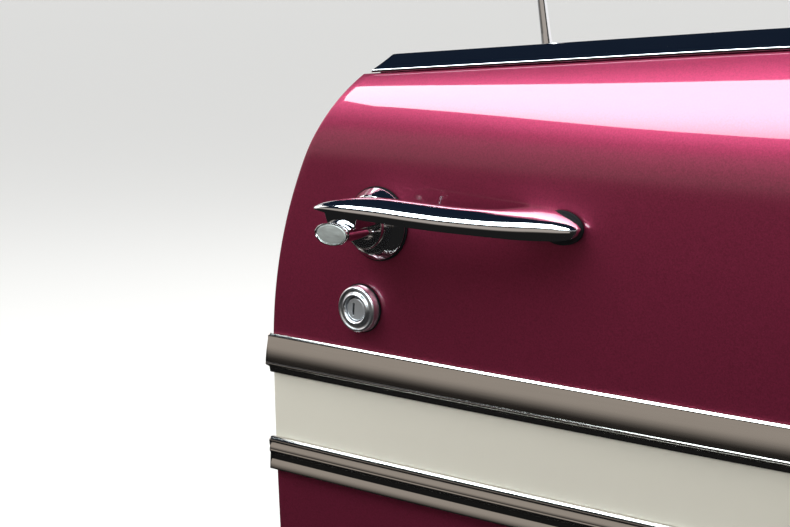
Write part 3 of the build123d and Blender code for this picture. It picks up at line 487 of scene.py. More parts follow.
def steel_finish(name, colour, rough, lengthwise):
    """Polished or brushed steel: a noise drawn out along one axis gives the fine lines of its finish."""
    f = Finish(name, Metallic=1.0)
    lines = f.noise(700.0, 3.0, 0.6, lengthwise)
    haze = f.noise(14.0, 3.0)
    dull, bright = [c * 0.9 for c in colour], [min(1.0, c * 1.05) for c in colour]
    tone = f.mix(f.clamp(lines * 0.6 + haze * 0.4), dull, bright)
    return f.wear(Base_Color=tone, Roughness=lines * rough * 0.5 + haze * rough * 0.4 + rough * 0.55,
                  Normal=f.bump(lines, 0.00001, 0.25))


def chrome_finish(name, rough=0.035):
    """Bright plate with a trace of haze and faint wiping marks."""
    f = Finish(name, Metallic=1.0)
    haze = f.noise(22.0, 3.0)
    marks = f.noise(260.0, 2.0, 0.5, (0.15, 1.0, 1.0))
    tone = f.mix(haze, (0.80, 0.80, 0.82), (0.88, 0.88, 0.90))
    return f.wear(Base_Color=tone, Roughness=haze * 0.03 + marks * 0.02 + rough)


def rubber_finish():
    """Matt black rubber with a fine grain and a grey bloom."""
    f = Finish("black_rubber", Specular_IOR_Level=0.1)
    grain, bloom = f.noise(1400.0, 3.0), f.noise(30.0, 3.0)
    tone = f.mix(f.clamp(bloom * 0.7 + grain * 0.3), (0.004, 0.004, 0.005), (0.015, 0.015, 0.017))
    return f.wear(Base_Color=tone, Roughness=grain * 0.2 + 0.62, Normal=f.bump(grain, 0.00006, 0.5))


def vinyl_finish(name, colour):
    """Vinyl with a pebble grain of small cells, with painted shade darkening its valleys."""
    f = Finish(name, Specular_IOR_Level=0.4)
    pebble = f.cells(620.0)
    crease = f.noise(90.0, 4.0, 0.6)
    # Painted shade: the grain's valleys are coloured darker. The crease noise adds random tone.
    tone = f.mix(f.clamp(pebble * 0.7 + crease * 0.45), colour, [c * 0.72 for c in colour])
    height = f.clamp(1 - pebble * 1.2) * 0.8 + crease * 0.3
    return f.wear(Base_Color=tone, Roughness=crease * 0.2 + 0.42, Normal=f.bump(height, 0.00016, 0.6))


def carpet_finish(colour):
    """Looped carpet: cells for the loops with painted light on the tips and painted shade between, over slow
    patches of tone.
    """
    f = Finish("kick_carpet", Specular_IOR_Level=0.15, Sheen_Weight=0.35, Sheen_Roughness=0.5)
    loops, patch = f.cells(420.0), f.noise(26.0, 3.0)
    # Painted light: the loops' tips are coloured lighter and the gaps between them darker, as light and shade
    # in the pile.
    tips_painted_light, roots_painted_shade = [min(1.0, c * 1.6) for c in colour], [c * 0.4 for c in colour]
    tone = f.mix(f.clamp(loops * 0.9 + patch * 0.3), tips_painted_light, roots_painted_shade)
    height = f.clamp(1 - loops * 1.4)
    return f.wear(Base_Color=tone, Roughness=patch * 0.1 + 0.85, Normal=f.bump(height, 0.0012, 0.9))


def enamel_finish(name, colour):
    """Dark gloss enamel with faint orange peel."""
    f = Finish(name, Coat_Weight=1.0, Coat_Roughness=0.03)
    peel, tone = f.noise(240.0, 2.0), f.noise(20.0, 3.0)
    return f.wear(Base_Color=f.mix(tone, colour, [c * 1.3 for c in colour]), Roughness=tone * 0.1 + 0.35,
                  Normal=f.bump(peel, 0.00004, 0.3))


def glass_finish():
    """Clear safety glass with a faint green body."""
    f = Finish("door_glass", Transmission_Weight=1.0, IOR=1.5)
    dust = f.noise(40.0, 3.0)
    return f.wear(Base_Color=f.mix(dust, (0.86, 0.94, 0.91), (0.90, 0.965, 0.94)), Roughness=dust * 0.012)


def zinc_finish():
    """Zinc-plated steel: dull grey with slight spangle and darker stains."""
    f = Finish("zinc_plate", Metallic=1.0)
    spangle, stain = f.cells(160.0, "Color"), f.noise(35.0, 4.0)
    tone = f.mix(f.clamp(spangle * 0.35 + stain * 0.65), (0.50, 0.49, 0.46), (0.66, 0.65, 0.62))
    return f.wear(Base_Color=tone, Roughness=stain * 0.25 + 0.28, Normal=f.bump(stain, 0.00003, 0.4))


def plastic_finish(name, colour):
    """Moulded plastic, glossy, with a slight mottle."""
    f = Finish(name, Coat_Weight=0.4, Coat_Roughness=0.08)
    mottle = f.noise(60.0, 3.0)
    return f.wear(Base_Color=f.mix(mottle, colour, [c * 0.9 for c in colour]), Roughness=mottle * 0.1 + 0.25)


class DoorSettings(bpy.types.PropertyGroup):
    """What a user would change on the door and its stage."""

    plum: FloatVectorProperty(name="Plum", description="Colour of the metallic paint", subtype="COLOR",
                              default=(0.285, 0.0240, 0.068), min=0, max=1)
    cream: FloatVectorProperty(name="Cream", description="Colour of the strip between the side mouldings",
                               subtype="COLOR", default=(0.74, 0.715, 0.615), min=0, max=1)
    hem: FloatProperty(name="Hem radius", description="Radius of the skin's folded edge", subtype="DISTANCE",
                       default=0.0012, min=0.0005, max=0.003)
    softbox: FloatProperty(name="Softbox", description="Radiance of the overhead softbox",
                           default=10.8, min=0)
    fill: FloatProperty(name="Fill", description="Radiance of the soft light on matt surfaces",
                        default=5.6, min=0)
    wall: FloatProperty(name="Wall", description="Radiance of the wall that the side mirrors",
                        default=0.42, min=0)
    sky: FloatProperty(name="Room light", description="Strength of the even light from all round",
                       default=0.35, min=0)


def settings():
    return bpy.context.scene.door


FINISHES = {}


def finish(name):
    """The named finish, made once."""
    if name not in FINISHES:
        s = settings()
        makers = {
            "paint": lambda: paint_finish("plum_and_cream_paint", s.plum, s.cream, True),
            "inner_paint": lambda: paint_finish("plum_paint_inside", s.plum, s.cream, False),
            "stainless": lambda: steel_finish("polished_stainless", (0.66, 0.63, 0.60), 0.10,
                                              (0.02, 1.0, 1.0)),
            "satin": lambda: steel_finish("satin_button", (0.62, 0.63, 0.60), 0.55, (0.2, 1.0, 1.0)),
            "worn_chrome": lambda: chrome_finish("worn_chrome", 0.26),
            "dull_chrome": lambda: chrome_finish("dull_chrome", 0.42),
            "chrome": lambda: chrome_finish("bright_chrome"),
            "enamel": lambda: enamel_finish("dark_enamel", (0.02, 0.025, 0.035)),
            "rubber": rubber_finish,
            "ivory": lambda: vinyl_finish("ivory_vinyl", (0.74, 0.70, 0.60)),
            "dark_vinyl": lambda: vinyl_finish("plum_vinyl", (0.20, 0.03, 0.065)),
            "carpet": lambda: carpet_finish((0.10, 0.03, 0.045)),
            "glass": glass_finish,
            "zinc": zinc_finish,
            "knob": lambda: plastic_finish("ivory_knob", (0.72, 0.68, 0.58)),
        }
        FINISHES[name] = makers[name]()
    return FINISHES[name]


class DOOR_OT_skin(bpy.types.Operator):
    """Makes the painted skin: the outer surface on a grid that follows the outline, rolled at its hem"""

    bl_idname = "door.skin"
    bl_label = "Painted skin"

    def execute(self, context):
        """Rows run from the belt edge down, crowded at the shoulder. Columns run from the rear outline to
        the front one. The border rolls inwards by a half circle of the hem's radius on to the back face."""
        hem = settings().hem * 1000
        rows, cols, roll = 150, 230, 7
        v = np.linspace(0, 1, rows)[:, None]
        v = 0.42 * v + 0.58 * v ** 2.1
        u = np.linspace(0, 1, cols)[None, :]
        x = REAR_X + (FRONT_X - REAR_X) * u + 0 * v
        for _ in range(8):
            top = belt_z(x) - 0.6
            z = top + (BOTTOM_Z + hem - top) * v
            x0, x1 = rear_edge(z, hem), front_edge(z, hem)
            x = x0 + (x1 - x0) * u
        outer = np.stack([x, surface_y(x, z), z], -1)
        du, dv = np.gradient(outer, axis=1), np.gradient(outer, axis=0)
        normal = np.cross(du, dv)
        normal /= np.linalg.norm(normal, axis=-1, keepdims=True)
        normal *= np.where(normal[..., 1:2] > 0, -1, 1)
        border = grid_border(rows, cols)
        edge, face = outer.reshape(-1, 3)[border], normal.reshape(-1, 3)[border]
        along = np.roll(edge, -1, 0) - np.roll(edge, 1, 0)
        away = np.cross(along, face)
        away /= np.linalg.norm(away, axis=-1, keepdims=True)
        away *= np.where(((edge - outer.reshape(-1, 3).mean(0)) * away).sum(-1, keepdims=True) < 0, -1, 1)
        t = np.linspace(0, math.pi, roll + 2)[1:-1][:, None, None]
        rings = edge + away * hem * np.sin(t) - face * hem * (1 - np.cos(t))
        inner = outer - normal * 2 * hem
        n, m = rows * cols, len(border)
        points = np.concatenate([outer.reshape(-1, 3), rings.reshape(-1, 3), inner.reshape(-1, 3)])
        loops = [border] + [n + k * m + np.arange(m) for k in range(roll)] + [n + roll * m + border]
        walls = [np.stack([a, np.roll(a, -1), np.roll(b, -1), b], -1) for a, b in zip(loops, loops[1:])]
        quads = np.concatenate([grid_quads(rows, cols), grid_quads(rows, cols, n + roll * m)] + walls)
        door_piece("painted_skin", points, quads, "paint", "paint_plum", "outer_skin", sharp=60)
        return {"FINISHED"}


def side_moulding(profile, mid_z):
    """Points and quads of a profile of (up, outwards) carried along the side at one height, square to it,
    from behind the rear edge to the front, with its end edges eased by two smaller rings."""
    x = np.concatenate([[REAR_X - 2.0, REAR_X - 1.85, REAR_X - 1.4], np.linspace(REAR_X, FRONT_X - 4, 150),
                        [FRONT_X - 3.3, FRONT_X - 3.0]])
    ease = np.ones(len(x))
    ease[:3], ease[-2:] = (0.93, 0.975, 1.0), (0.985, 0.95)
    a = float(side_angle(mid_z))
    y0 = side_y(x) + SIDE_R - SIDE_R * math.cos(a)
    up, out = profile[:, 0], profile[:, 1]
    out = SEAT_GAP + (out[None, :] - SEAT_GAP) * ease[:, None]
    up = up[None, :] * (0.5 + 0.5 * ease[:, None])
    return tube(np.stack([x[:, None] + 0 * up, y0[:, None] + up * math.sin(a) - out * math.cos(a),
                          mid_z + up * math.cos(a) + out * math.sin(a)], -1))


class DOOR_OT_side_mouldings(bpy.types.Operator):
    """Makes the two bright mouldings along the side"""

    bl_idname = "door.side_mouldings"
    bl_label = "Side mouldings"

    def execute(self, context):
        """Each profile is a path with rounded corners, from its lower back edge up to its top back edge."""
        h = UPPER_H / 2
        upper = np.concatenate([
            rounded([(0.7 - h, 0.3), (0.7 - h, 1.1, 0.3), (3.8 - h, 1.3, 0.3), (6.2 - h, 5.1, 0.6),
                     (7.3 - h, 6.0, 0.9), (8.3 - h, 5.3, 0.35), (8.7 - h, 5.45)]),
            bowed((8.8 - h, 5.5), (h - 2.0, 2.3), 0.38),
            rounded([(h - 1.9, 2.27), (h - 1.7, 2.25, 0.2), (h - 1.4, 2.65, 0.3), (h, 1.6, 0.4), (h, 0.3)])])
        g = LOWER_H / 2
        lower = np.concatenate([
            rounded([(-g, 0.3), (-g, 1.2, 0.4), (0.3 - g, 3.2, 0.8), (1.0 - g, 4.6, 0.5), (1.6 - g, 4.55)]),
            bowed((1.7 - g, 4.53), (g - 15.2, 2.9), 0.1),
            rounded([(g - 15.0, 2.86), (g - 14.7, 2.84, 0.2), (g - 11.8, 2.84, 0.8), (g - 9.5, 4.4, 0.4),
                     (g - 9.1, 4.55, 0.3), (g - 8.6, 4.4)]),
            bowed((g - 8.5, 4.36), (g - 4.1, 2.95), 0.15),
            rounded([(g - 4.0, 2.9), (g - 3.7, 2.9, 0.2), (g - 3.2, 4.0, 0.5), (g - 2.3, 4.6, 0.6),
                     (g - 0.6, 3.6, 1.0), (g, 2.2, 0.5), (g, 0.3)])])
        upper_z = UPPER_TOP_Z - UPPER_H / 2
        lower_z = UPPER_TOP_Z - UPPER_H - CREAM_H - LOWER_H / 2 - LOWER_DROP
        for name, profile, z in (("upper_side_moulding", upper, upper_z),
                                 ("lower_side_moulding", lower, lower_z)):
            door_piece(name + "_fine", *side_moulding(profile, z), "stainless", "stainless", name, sharp=32)
        return {"FINISHED"}


class DOOR_OT_belt_moulding(bpy.types.Operator):
    """Makes the bright moulding along the belt edge"""

    bl_idname = "door.belt_moulding"
    bl_label = "Belt moulding"

    def execute(self, context):
        """A profile of (up, inboard) from the belt edge: a small bead outside, a flank up to the crown, and
        a lip down into the glass slot. The crown gets lower towards the rear. The rear end is cut along
        the door's outline by moving each point's station back to it."""
        w = BELT_MOULD_W
        x = np.concatenate([np.linspace(REAR_X, -1000, 60), np.linspace(-995, FRONT_X - 2, 130)])
        sections = []
        for rise in BELT_RISE:
            bead = rounded([(0.3, 0.6), (0.2, -1.5, 0.5), (1.7, -1.9, 0.8), (2.7, -0.6, 0.3), (3.0, -0.2)], 5)
            flank = bowed((3.0, -0.2), (rise - 0.6, w * 0.76), 0.25)[1:]
            crown = rounded([(rise - 0.5, w * 0.78), (rise + 0.1, w * 0.88, 1.4), (rise - 1.2, w, 1.0),
                             (-8.0, w, 0.2), (-8.0, w - 1.5, 0.2), (0.3, w - 1.5, 0.4), (0.3, 0.6)], 6)
            sections.append(np.concatenate([bead, flank, crown[:-1]]))
        share = rear_share(x)[:, None, None]
        profile = sections[0] + (sections[1] - sections[0]) * share
        up, inboard = profile[..., 0], profile[..., 1]
        z = belt_z(x)[:, None] + up
        shift = np.maximum(rear_edge(z, BELT_INSET) - x[:, None], 0)
        gx = x[:, None] + shift
        pts = np.stack([gx, belt_y(gx) + inboard, belt_z(gx) + up], -1)
        last = np.argmax(shift.max(1) < 0.01)
        pts = pts[max(0, last - 12):]
        door_piece("belt_moulding_fine", *tube(pts), "chrome", "chrome", "belt_moulding", sharp=36)
        return {"FINISHED"}


def bar_section(count=90):
    """The bar's section: its normal turns from the top to the lower edge, and each step goes along the
    tangent by the local radius times the turn. The radius is broad on the upper flank and tighter at the
    ridge. A shallow back closes it. Returns (out, up) about the middle, for a height of 1."""
    lowest, highest = -38, 96
    a = np.radians(np.linspace(highest, lowest, count))
    r = np.interp(np.degrees(a), [lowest, 3, 8, 25, 42, 47, 66, 71, highest],
                  [6.8, 6.8, 6.6, 6.2, 7.2, 18.7, 18.7, 12.6, 12.6])
    step = -np.diff(a) * (r[1:] + r[:-1]) / 2
    mid = (a[1:] + a[:-1]) / 2
    out = np.concatenate([[0], np.cumsum(step * np.sin(mid))])
    up = np.concatenate([[0], np.cumsum(-step * np.cos(mid))])
    back = bowed((out[-1], up[-1]), (out[0], up[0]), -1.2, 14)[1:-1]
    section = np.concatenate([np.stack([out, up], -1), back])
    height = up.max() - up.min()
    section -= [out.max() * 0.62, (up.max() + up.min()) / 2]
    return section / height


class DOOR_OT_handle(bpy.types.Operator):
    """Makes the outer handle: stepped rosette, oval neck, spear-shaped bar and foot, and its push button"""

    bl_idname = "door.handle"
    bl_label = "Outer handle"

    def execute(self, context):
        """Rosette: a stepped profile turned about the outward axis. Neck: an oval profile, narrower behind
        its rim. Bar: one section scaled, rolled and carried along rows of place, stand-off, lift, height and
        roll in degrees, its top drawn out towards the door at the front. Web: a rounded outline carried
        outwards, its face leaning down. Foot and front gasket: ovals under the bar's front end."""
        step = rounded([(0.0, 1.2), (21.8, 1.2, 0.2), (21.8, 2.2, 0.5), (21.2, 3.2, 1.0), (18.2, 8.1, 0.4),
                        (17.6, 8.7, 0.2), (17.2, 8.7, 0.2), (14.6, 7.0, 0.3), (14.3, 7.2, 0.2),
                        (14.2, 13.2, 1.5), (14.0, 14.3, 0.3), (13.8, 14.5, 0.2), (13.4, 14.5, 0.2),
                        (9.4, 11.6, 1.0), (8.0, 11.2, 1.0), (0.0, 11.2)], 8)
        rosette = revolve(step, 128)
        w, h = BUTTON_HALF
        middle = np.array([BUTTON_AT[0], 0, BUTTON_AT[1]])
        barrel = rounded([(0.0, 10.0), (0.95, 10.0, 0.1), (0.84, 18.0, 6.0), (0.80, 30.0, 6.0),
                          (0.84, 37.0, 4.0), (0.97, 40.4, 1.2), (1.0, 41.6, 0.3), (0.985, 42.1, 0.1),
                          (0.93, 42.3, 0.06), (0.895, 41.8, 0.04), (0.88, 34.0, 0.1), (0.0, 34.0)], 7)
        neck = revolve(barrel, 96, (w, h))
        neck = (neck[0] + middle, neck[1])
        rows = [(-16.8, 40.0, 11.9, 0.25, 6), (-15.9, 40.0, 12.1, 1.9, 6), (-13.5, 39.9, 12.6, 3.9, 6),
                (-9.7, 39.6, 13.2, 6.0, 6), (-0.6, 39.0, 13.9, 9.2, 6), (12.0, 37.9, 14.2, 12.1, 4),
                (27.0, 36.4, 14.0, 13.2, 1), (52.0, 33.6, 13.0, 13.5, 0), (77.0, 30.4, 12.3, 13.7, 1),
                (100.0, 26.0, 12.2, 14.5, 2), (114.0, 20.9, 12.5, 16.2, 2), (124.0, 15.6, 12.8, 17.0, 2),
                (132.0, 10.8, 12.6, 16.6, 3), (138.5, 7.0, 12.0, 13.8, 4), (143.3, 4.4, 11.2, 7.8, 4),
                (145.2, 3.4, 11.0, 0.4, 4)]
        at, out, lift, height, roll = smooth_rows(rows, 190).T
        roll = np.radians(roll)[:, None]
        o, up = np.moveaxis(bar_section()[None] * height[:, None, None], -1, 0)
        front = np.clip((at - DRAWN_FROM) / (DRAWN_TO - DRAWN_FROM), 0, 1)[:, None]
        brow = 0.25 * height[:, None]
        drawn = 1 + DRAWN_OUT * front * front * (3 - 2 * front)
        o = np.where(o < brow, brow + (o - brow) * drawn, o)
        o, up = o * np.cos(roll) - up * np.sin(roll), o * np.sin(roll) + up * np.cos(roll)
        lean = np.arctan(np.gradient(out, at))[:, None]
        bar = np.stack([at[:, None] - o * np.sin(lean), -(out[:, None] + o * np.cos(lean)),
                        lift[:, None] + up], -1)
        rim = rounded([(-12.0, WEB_TOP), (15.0, WEB_TOP, 1.0), (11.5, 0.5, 3.0), (-8.5, 0.5, 3.0),
                       (-12.0, WEB_TOP)], 8)[:-1]
        reach = np.array([[5.0, 1.0], [30.0, 1.0], [37.4, 0.99], [38.0, 0.965], [38.3, 0.93]])
        core = np.array([1.5, 8.0])
        ring = core + (rim - core)[None] * reach[:, 1, None, None]
        leaning = np.where(reach[:, 0, None] > 20, WEB_LEAN * (ring[..., 1] - WEB_TOP), 0)
        web = tube(np.stack([ring[..., 0], -(reach[:, 0, None] + leaning), ring[..., 1]], -1))
        whole = [(on_skin(p, HANDLE_X, HANDLE_Z), q) for p, q in (rosette, neck, tube(bar), web)]
        foot_x, foot_z = HANDLE_X + FOOT_X, HANDLE_Z + FOOT_LIFT
        foot = revolve(rounded([(0.0, 1.2), (1.0, 1.2, 0.05), (0.97, 2.0, 0.4), (0.7, 3.6, 1.0),
                                (0.0, 4.0)], 5), 72, (11.0, 4.2))
        whole.append((on_skin(foot[0], foot_x, foot_z - 2.5), foot[1]))
        door_piece("handle_bright", *joined(*whole), "chrome", "chrome", "door_handle", sharp=34)
        pad = revolve(rounded([(0.0, SEAT_GAP), (1.0, SEAT_GAP, 0.01), (1.0, 1.5, 0.02), (0.955, 2.0, 0.02),
                               (0.0, 2.0)], 5), 96, (14.4, 9.8))
        door_piece("front_gasket_fine", on_skin(pad[0], foot_x + 2.4, foot_z - 2.0), pad[1],
                   "rubber", "rubber", "handle_front_gasket")
        dish = rounded([(0.0, 34.3), (1.0, 34.3, 0.02), (1.0, 41.7, 0.05), (0.93, 42.0, 0.05),
                        (0.0, 42.2)], 5)
        face = revolve(dish, 96, (w * 0.88, h * 0.88))
        door_piece("button_face", on_skin(face[0] + middle, HANDLE_X, HANDLE_Z), face[1],
                   "satin", "brushed_button", "push_button", sharp=34)
        return {"FINISHED"}


class DOOR_OT_lock(bpy.types.Operator):
    """Makes the lock's bezel with its raised ring, the plug with its key slot, and a black slab of painted
    shade in the slot
    """

    bl_idname = "door.lock"
    bl_label = "Lock"

    def execute(self, context):
        """Bezel: one closed profile of (radius, outwards), turned. Plug: rings and spokes on a flat face
        that steps down by KEY_DEPTH within a rounded slot, along a ramp of the distance to its line."""
        r, h = LOCK_R, LOCK_H
        ring = rounded([(7.3, 0.0), (r + 0.2, 0.0, 0.1), (r + 0.3, 1.8, 0.4), (r - 0.1, 3.0, 1.0),
                        (r, h - 1.4, 1.6), (r - 1.2, h - 0.2, 1.2), (r - 2.4, h - 0.9, 1.0),
                        (r - 3.6, h - 1.0, 0.8), (r - 4.4, h + 0.3, 1.0), (r - 5.4, h + 0.9, 1.2),
                        (r - 6.4, h + 0.2, 0.6), (7.6, h - 1.2, 0.2), (7.3, h - 3.0, 0.1), (7.3, 0.0)], 8)
        turns = 120
        pts, _ = revolve(ring[:-1], turns)
        quads = grid_quads(len(ring) - 1, turns, wrap_rows=True, wrap_cols=True)
        door_piece("lock_bezel_fine", on_skin(pts, LOCK_X, LOCK_Z), quads, "worn_chrome", "chrome",
                   "lock_bezel", sharp=50)
        rim = rounded([(0.0, -24.0), (PLUG_R, -24.0, 0.3), (PLUG_R, h - 1.0, 0.5),
                       (PLUG_R - 0.6, h - 0.8)], 6)
        inner = np.linspace(PLUG_R - 0.6, 0.0, 70)[1:]
        face = np.stack([inner, np.full(len(inner), h - 0.8)], -1)
        pts, quads = revolve(np.concatenate([rim, face]), 200)
        lean = math.radians(KEY_LEAN)
        dx, dz = pts[:, 0] - KEY_X, pts[:, 2]
        along = np.abs(dx * math.sin(lean) + dz * math.cos(lean)) - (KEY_H - KEY_W) / 2
        across = dx * math.cos(lean) - dz * math.sin(lean)
        gap = np.hypot(across, np.maximum(along, 0)) - KEY_W / 2
        depth = np.clip(0.5 - gap / KEY_EDGE, 0, 1) * KEY_DEPTH
        pts[:, 1] += np.where(pts[:, 1] < -h + 1.5, depth, 0)
        door_piece("lock_plug_fine", on_skin(pts, LOCK_X, LOCK_Z), quads, "dull_chrome", "chrome",
                   "lock_plug", sharp=35)
        # Painted shade: a black slab inside the key slot stands for the dark of the slot's depth.
        key = revolve(rounded([(0.0, h - 3.0), (1.0, h - 3.0), (1.0, h - 1.5, 0.1), (0.0, h - 1.5)], 3), 32,
                      (KEY_W * 0.62, KEY_H * 0.55))
        turned = key[0] @ np.array(Euler((0, lean, 0)).to_matrix()).T + np.array([KEY_X, 0, 0])
        door_piece("key_slot_painted_shade", on_skin(turned, LOCK_X, LOCK_Z), key[1], "rubber", "rubber")
        return {"FINISHED"}


def slab(low, high, relief, rows, cols, edge=1.6):
    """Points and quads of a covered board of the inner trim. Its face looks inboard at TRIM_Y less the
    relief(x, z), and rounds off at its border by the arc edge - sqrt(edge^2 - (edge - d)^2) of the distance
    d to it. The border follows the door's outline, and the heights low and high are functions of X."""
    v = (0.5 - 0.5 * np.cos(np.linspace(0, math.pi, rows)))[:, None]
    about_long = 1050
    near = np.array([0.0, 0.25, 0.6, 1.1, 1.6]) / about_long
    u = np.concatenate([near, np.linspace(0.0025, 0.9975, cols - 10), 1 - near[::-1]])[None, :]
    x = REAR_X + (FRONT_X - REAR_X) * u + 0 * v
    for _ in range(8):
        z0, z1 = low(x), high(x)
        z = z0 + (z1 - z0) * v
        x0, x1 = rear_edge(z, TRIM_INSET), front_edge(z, TRIM_INSET) - TRIM_FRONT
        x = x0 + (x1 - x0) * u
    d = np.clip(np.minimum(np.minimum(x - x0, x1 - x), np.minimum(z - z0, z1 - z)), 0, edge)
    face = np.stack([x, TRIM_Y - relief(x, z) - edge + np.sqrt(edge ** 2 - (edge - d) ** 2), z], -1)
    back = np.stack([x, TRIM_BACK + 0 * x, z], -1)
    border, n = grid_border(rows, cols), rows * cols
    wall = np.stack([border, np.roll(border, -1), n + np.roll(border, -1), n + border], -1)
    points = np.concatenate([face.reshape(-1, 3), back.reshape(-1, 3)])
    return points, np.concatenate([grid_quads(rows, cols), grid_quads(rows, cols, n), wall])


def groove_relief(x, z):
    """The pleats: a stitched groove of PLEAT_DEPTH every PLEAT_PITCH, exp(-(d / GROOVE_W)^2) across, with a
    soft roll between grooves that rises as the square root of a sine. Both fade out at the pleats' ends."""
    d = np.abs((x - TRIM_END_X + PLEAT_PITCH / 2) % PLEAT_PITCH - PLEAT_PITCH / 2)
    ends = np.clip((np.minimum(z - PLEAT_ENDS[0], PLEAT_ENDS[1] - z)) / 7.0, 0, 1)
    ends = ends * ends * (3 - 2 * ends)
    inside = (x < TRIM_END_X - PLEAT_PITCH / 2) & (x > REAR_X + TRIM_INSET + PLEAT_PITCH / 3)
    roll = 1 - np.sqrt(np.abs(np.sin(math.pi * d / PLEAT_PITCH)))
    stitch = 0.5 + 0.5 * np.cos(2 * math.pi * z / STITCH_PITCH)
    groove = np.exp(-(d / GROOVE_W) ** 2) * (0.75 + 0.25 * stitch)
    return PLEAT_DEPTH * (groove * 0.6 + 0.4 * roll) * ends * inside


def band_relief(x, z):
    """The band's slight crown: half a millimetre times the square of the share of the way to its edges."""
    middle, half = 72, 52
    return 0.5 * ((z - middle) / half) ** 2


def pile_relief(x, z):
    """The carpet's tufts: a product of two sines whose places drift by sines of the other coordinate."""
    return 0.35 + 0.3 * np.sin(x * 1.3 + 0.8 * np.sin(z * 0.9)) * np.sin(z * 1.4 + 0.7 * np.sin(x * 0.6))


class DOOR_OT_trim(bpy.types.Operator):
    """Makes the inner trim: pleated panel, plain band, carpet and a bright strip over each joint"""

    bl_idname = "door.trim"
    bl_label = "Inner trim"

    def execute(self, context):
        """Boards from slab(), and each strip as a D profile of (up, inboard) carried along X."""
        def flat(height):
            return lambda x: height + 0 * x

        panel = slab(flat(KICK_Z + SEAT_GAP), flat(BAND_Z - SEAT_GAP), groove_relief, 56, 640)
        door_piece("pleated_panel", *panel, "ivory", "ivory_vinyl", "trim_panel", sharp=50)
        band = slab(flat(BAND_Z + SEAT_GAP), lambda x: belt_z(x) - BAND_DROP, band_relief, 24, 160)
        door_piece("upper_band", *band, "dark_vinyl", "dark_vinyl", "trim_upper_band", sharp=50)
        kick = slab(flat(BOTTOM_Z + TRIM_INSET), flat(KICK_Z - SEAT_GAP), pile_relief, 56, 440, 2.2)
        door_piece("kick_carpet", *kick, "carpet", "carpet", "trim_kick_carpet", sharp=50)
        h = STRIP_H / 2
        profile = np.concatenate([rounded([(-h, 0.1), (-h, 0.8, 0.3), (-h + 0.7, 1.1, 0.3), (-h + 0.9, 1.5)]),
                                  bowed((1.0 - h, 1.7), (h - 1.0, 1.7), 1.9),
                                  rounded([(h - 0.9, 1.5), (h - 0.7, 1.1, 0.3), (h, 0.8, 0.3), (h, 0.1)])])
        for name, mid in (("trim_strip_upper", BAND_Z), ("trim_strip_lower", KICK_Z)):
            x0 = float(rear_edge(mid, TRIM_INSET + 4))
            x1 = TRIM_END_X - 4
            x = np.concatenate([[x0, x0 + 0.4, x0 + 1.2], np.linspace(x0 + 3, x1 - 3, 40),
                                [x1 - 1.2, x1 - 0.4, x1]])
            ease = np.ones(len(x))
            ease[:3], ease[-3:] = (0.8, 0.93, 1.0), (1.0, 0.93, 0.8)
            out = profile[:, 1][None] * ease[:, None]
            up = profile[:, 0][None] * ease[:, None]
            pts = np.stack([x[:, None] + 0 * out, TRIM_Y + SEAT_GAP + out, mid + up], -1)
            door_piece(name + "_fine", *tube(pts), "stainless", "stainless", name, sharp=36)
        return {"FINISHED"}


def inflate(piece, voxel, pressure, cap, still, frames=20):
    """Blows a closed mesh up as cloth. The mesh is remeshed in cubes of voxel metres and simulated for the
    frames with no gravity, its points where still(co) holds pinned. No point moves further than cap."""
    scene = bpy.context.scene
    remesh = piece.modifiers.new("remesh", "REMESH")
    remesh.mode, remesh.voxel_size = "VOXEL", voxel
    graph = bpy.context.evaluated_depsgraph_get()
    mesh = bpy.data.meshes.new_from_object(piece.evaluated_get(graph))
    piece.modifiers.clear()
    piece.data = mesh
    before = np.empty(len(mesh.vertices) * 3)
    mesh.vertices.foreach_get("co", before)
    before = before.reshape(-1, 3)
    pinned = piece.vertex_groups.new(name="still")
    pinned.add(np.flatnonzero(still(before)).tolist(), 1.0, "REPLACE")
    cloth = piece.modifiers.new("cloth", "CLOTH")
    cloth.settings.vertex_group_mass = "still"
    cloth.settings.use_pressure = True
    cloth.settings.uniform_pressure_force = pressure
    cloth.settings.effector_weights.gravity = 0.0
    cloth.settings.quality = 6
    cloth.point_cache.frame_end = frames
    for step in range(1, frames + 1):
        scene.frame_set(step)
    graph = bpy.context.evaluated_depsgraph_get()
    after = np.empty(before.size)
    piece.evaluated_get(graph).data.vertices.foreach_get("co", after)
    piece.modifiers.clear()
    piece.vertex_groups.clear()
    move = after.reshape(-1, 3) - before
    length = np.linalg.norm(move, axis=1, keepdims=True)
    move *= np.minimum(1.0, cap / np.maximum(length, 1e-9))
    mesh.vertices.foreach_set("co", (before + move).ravel())
    scene.frame_set(1)


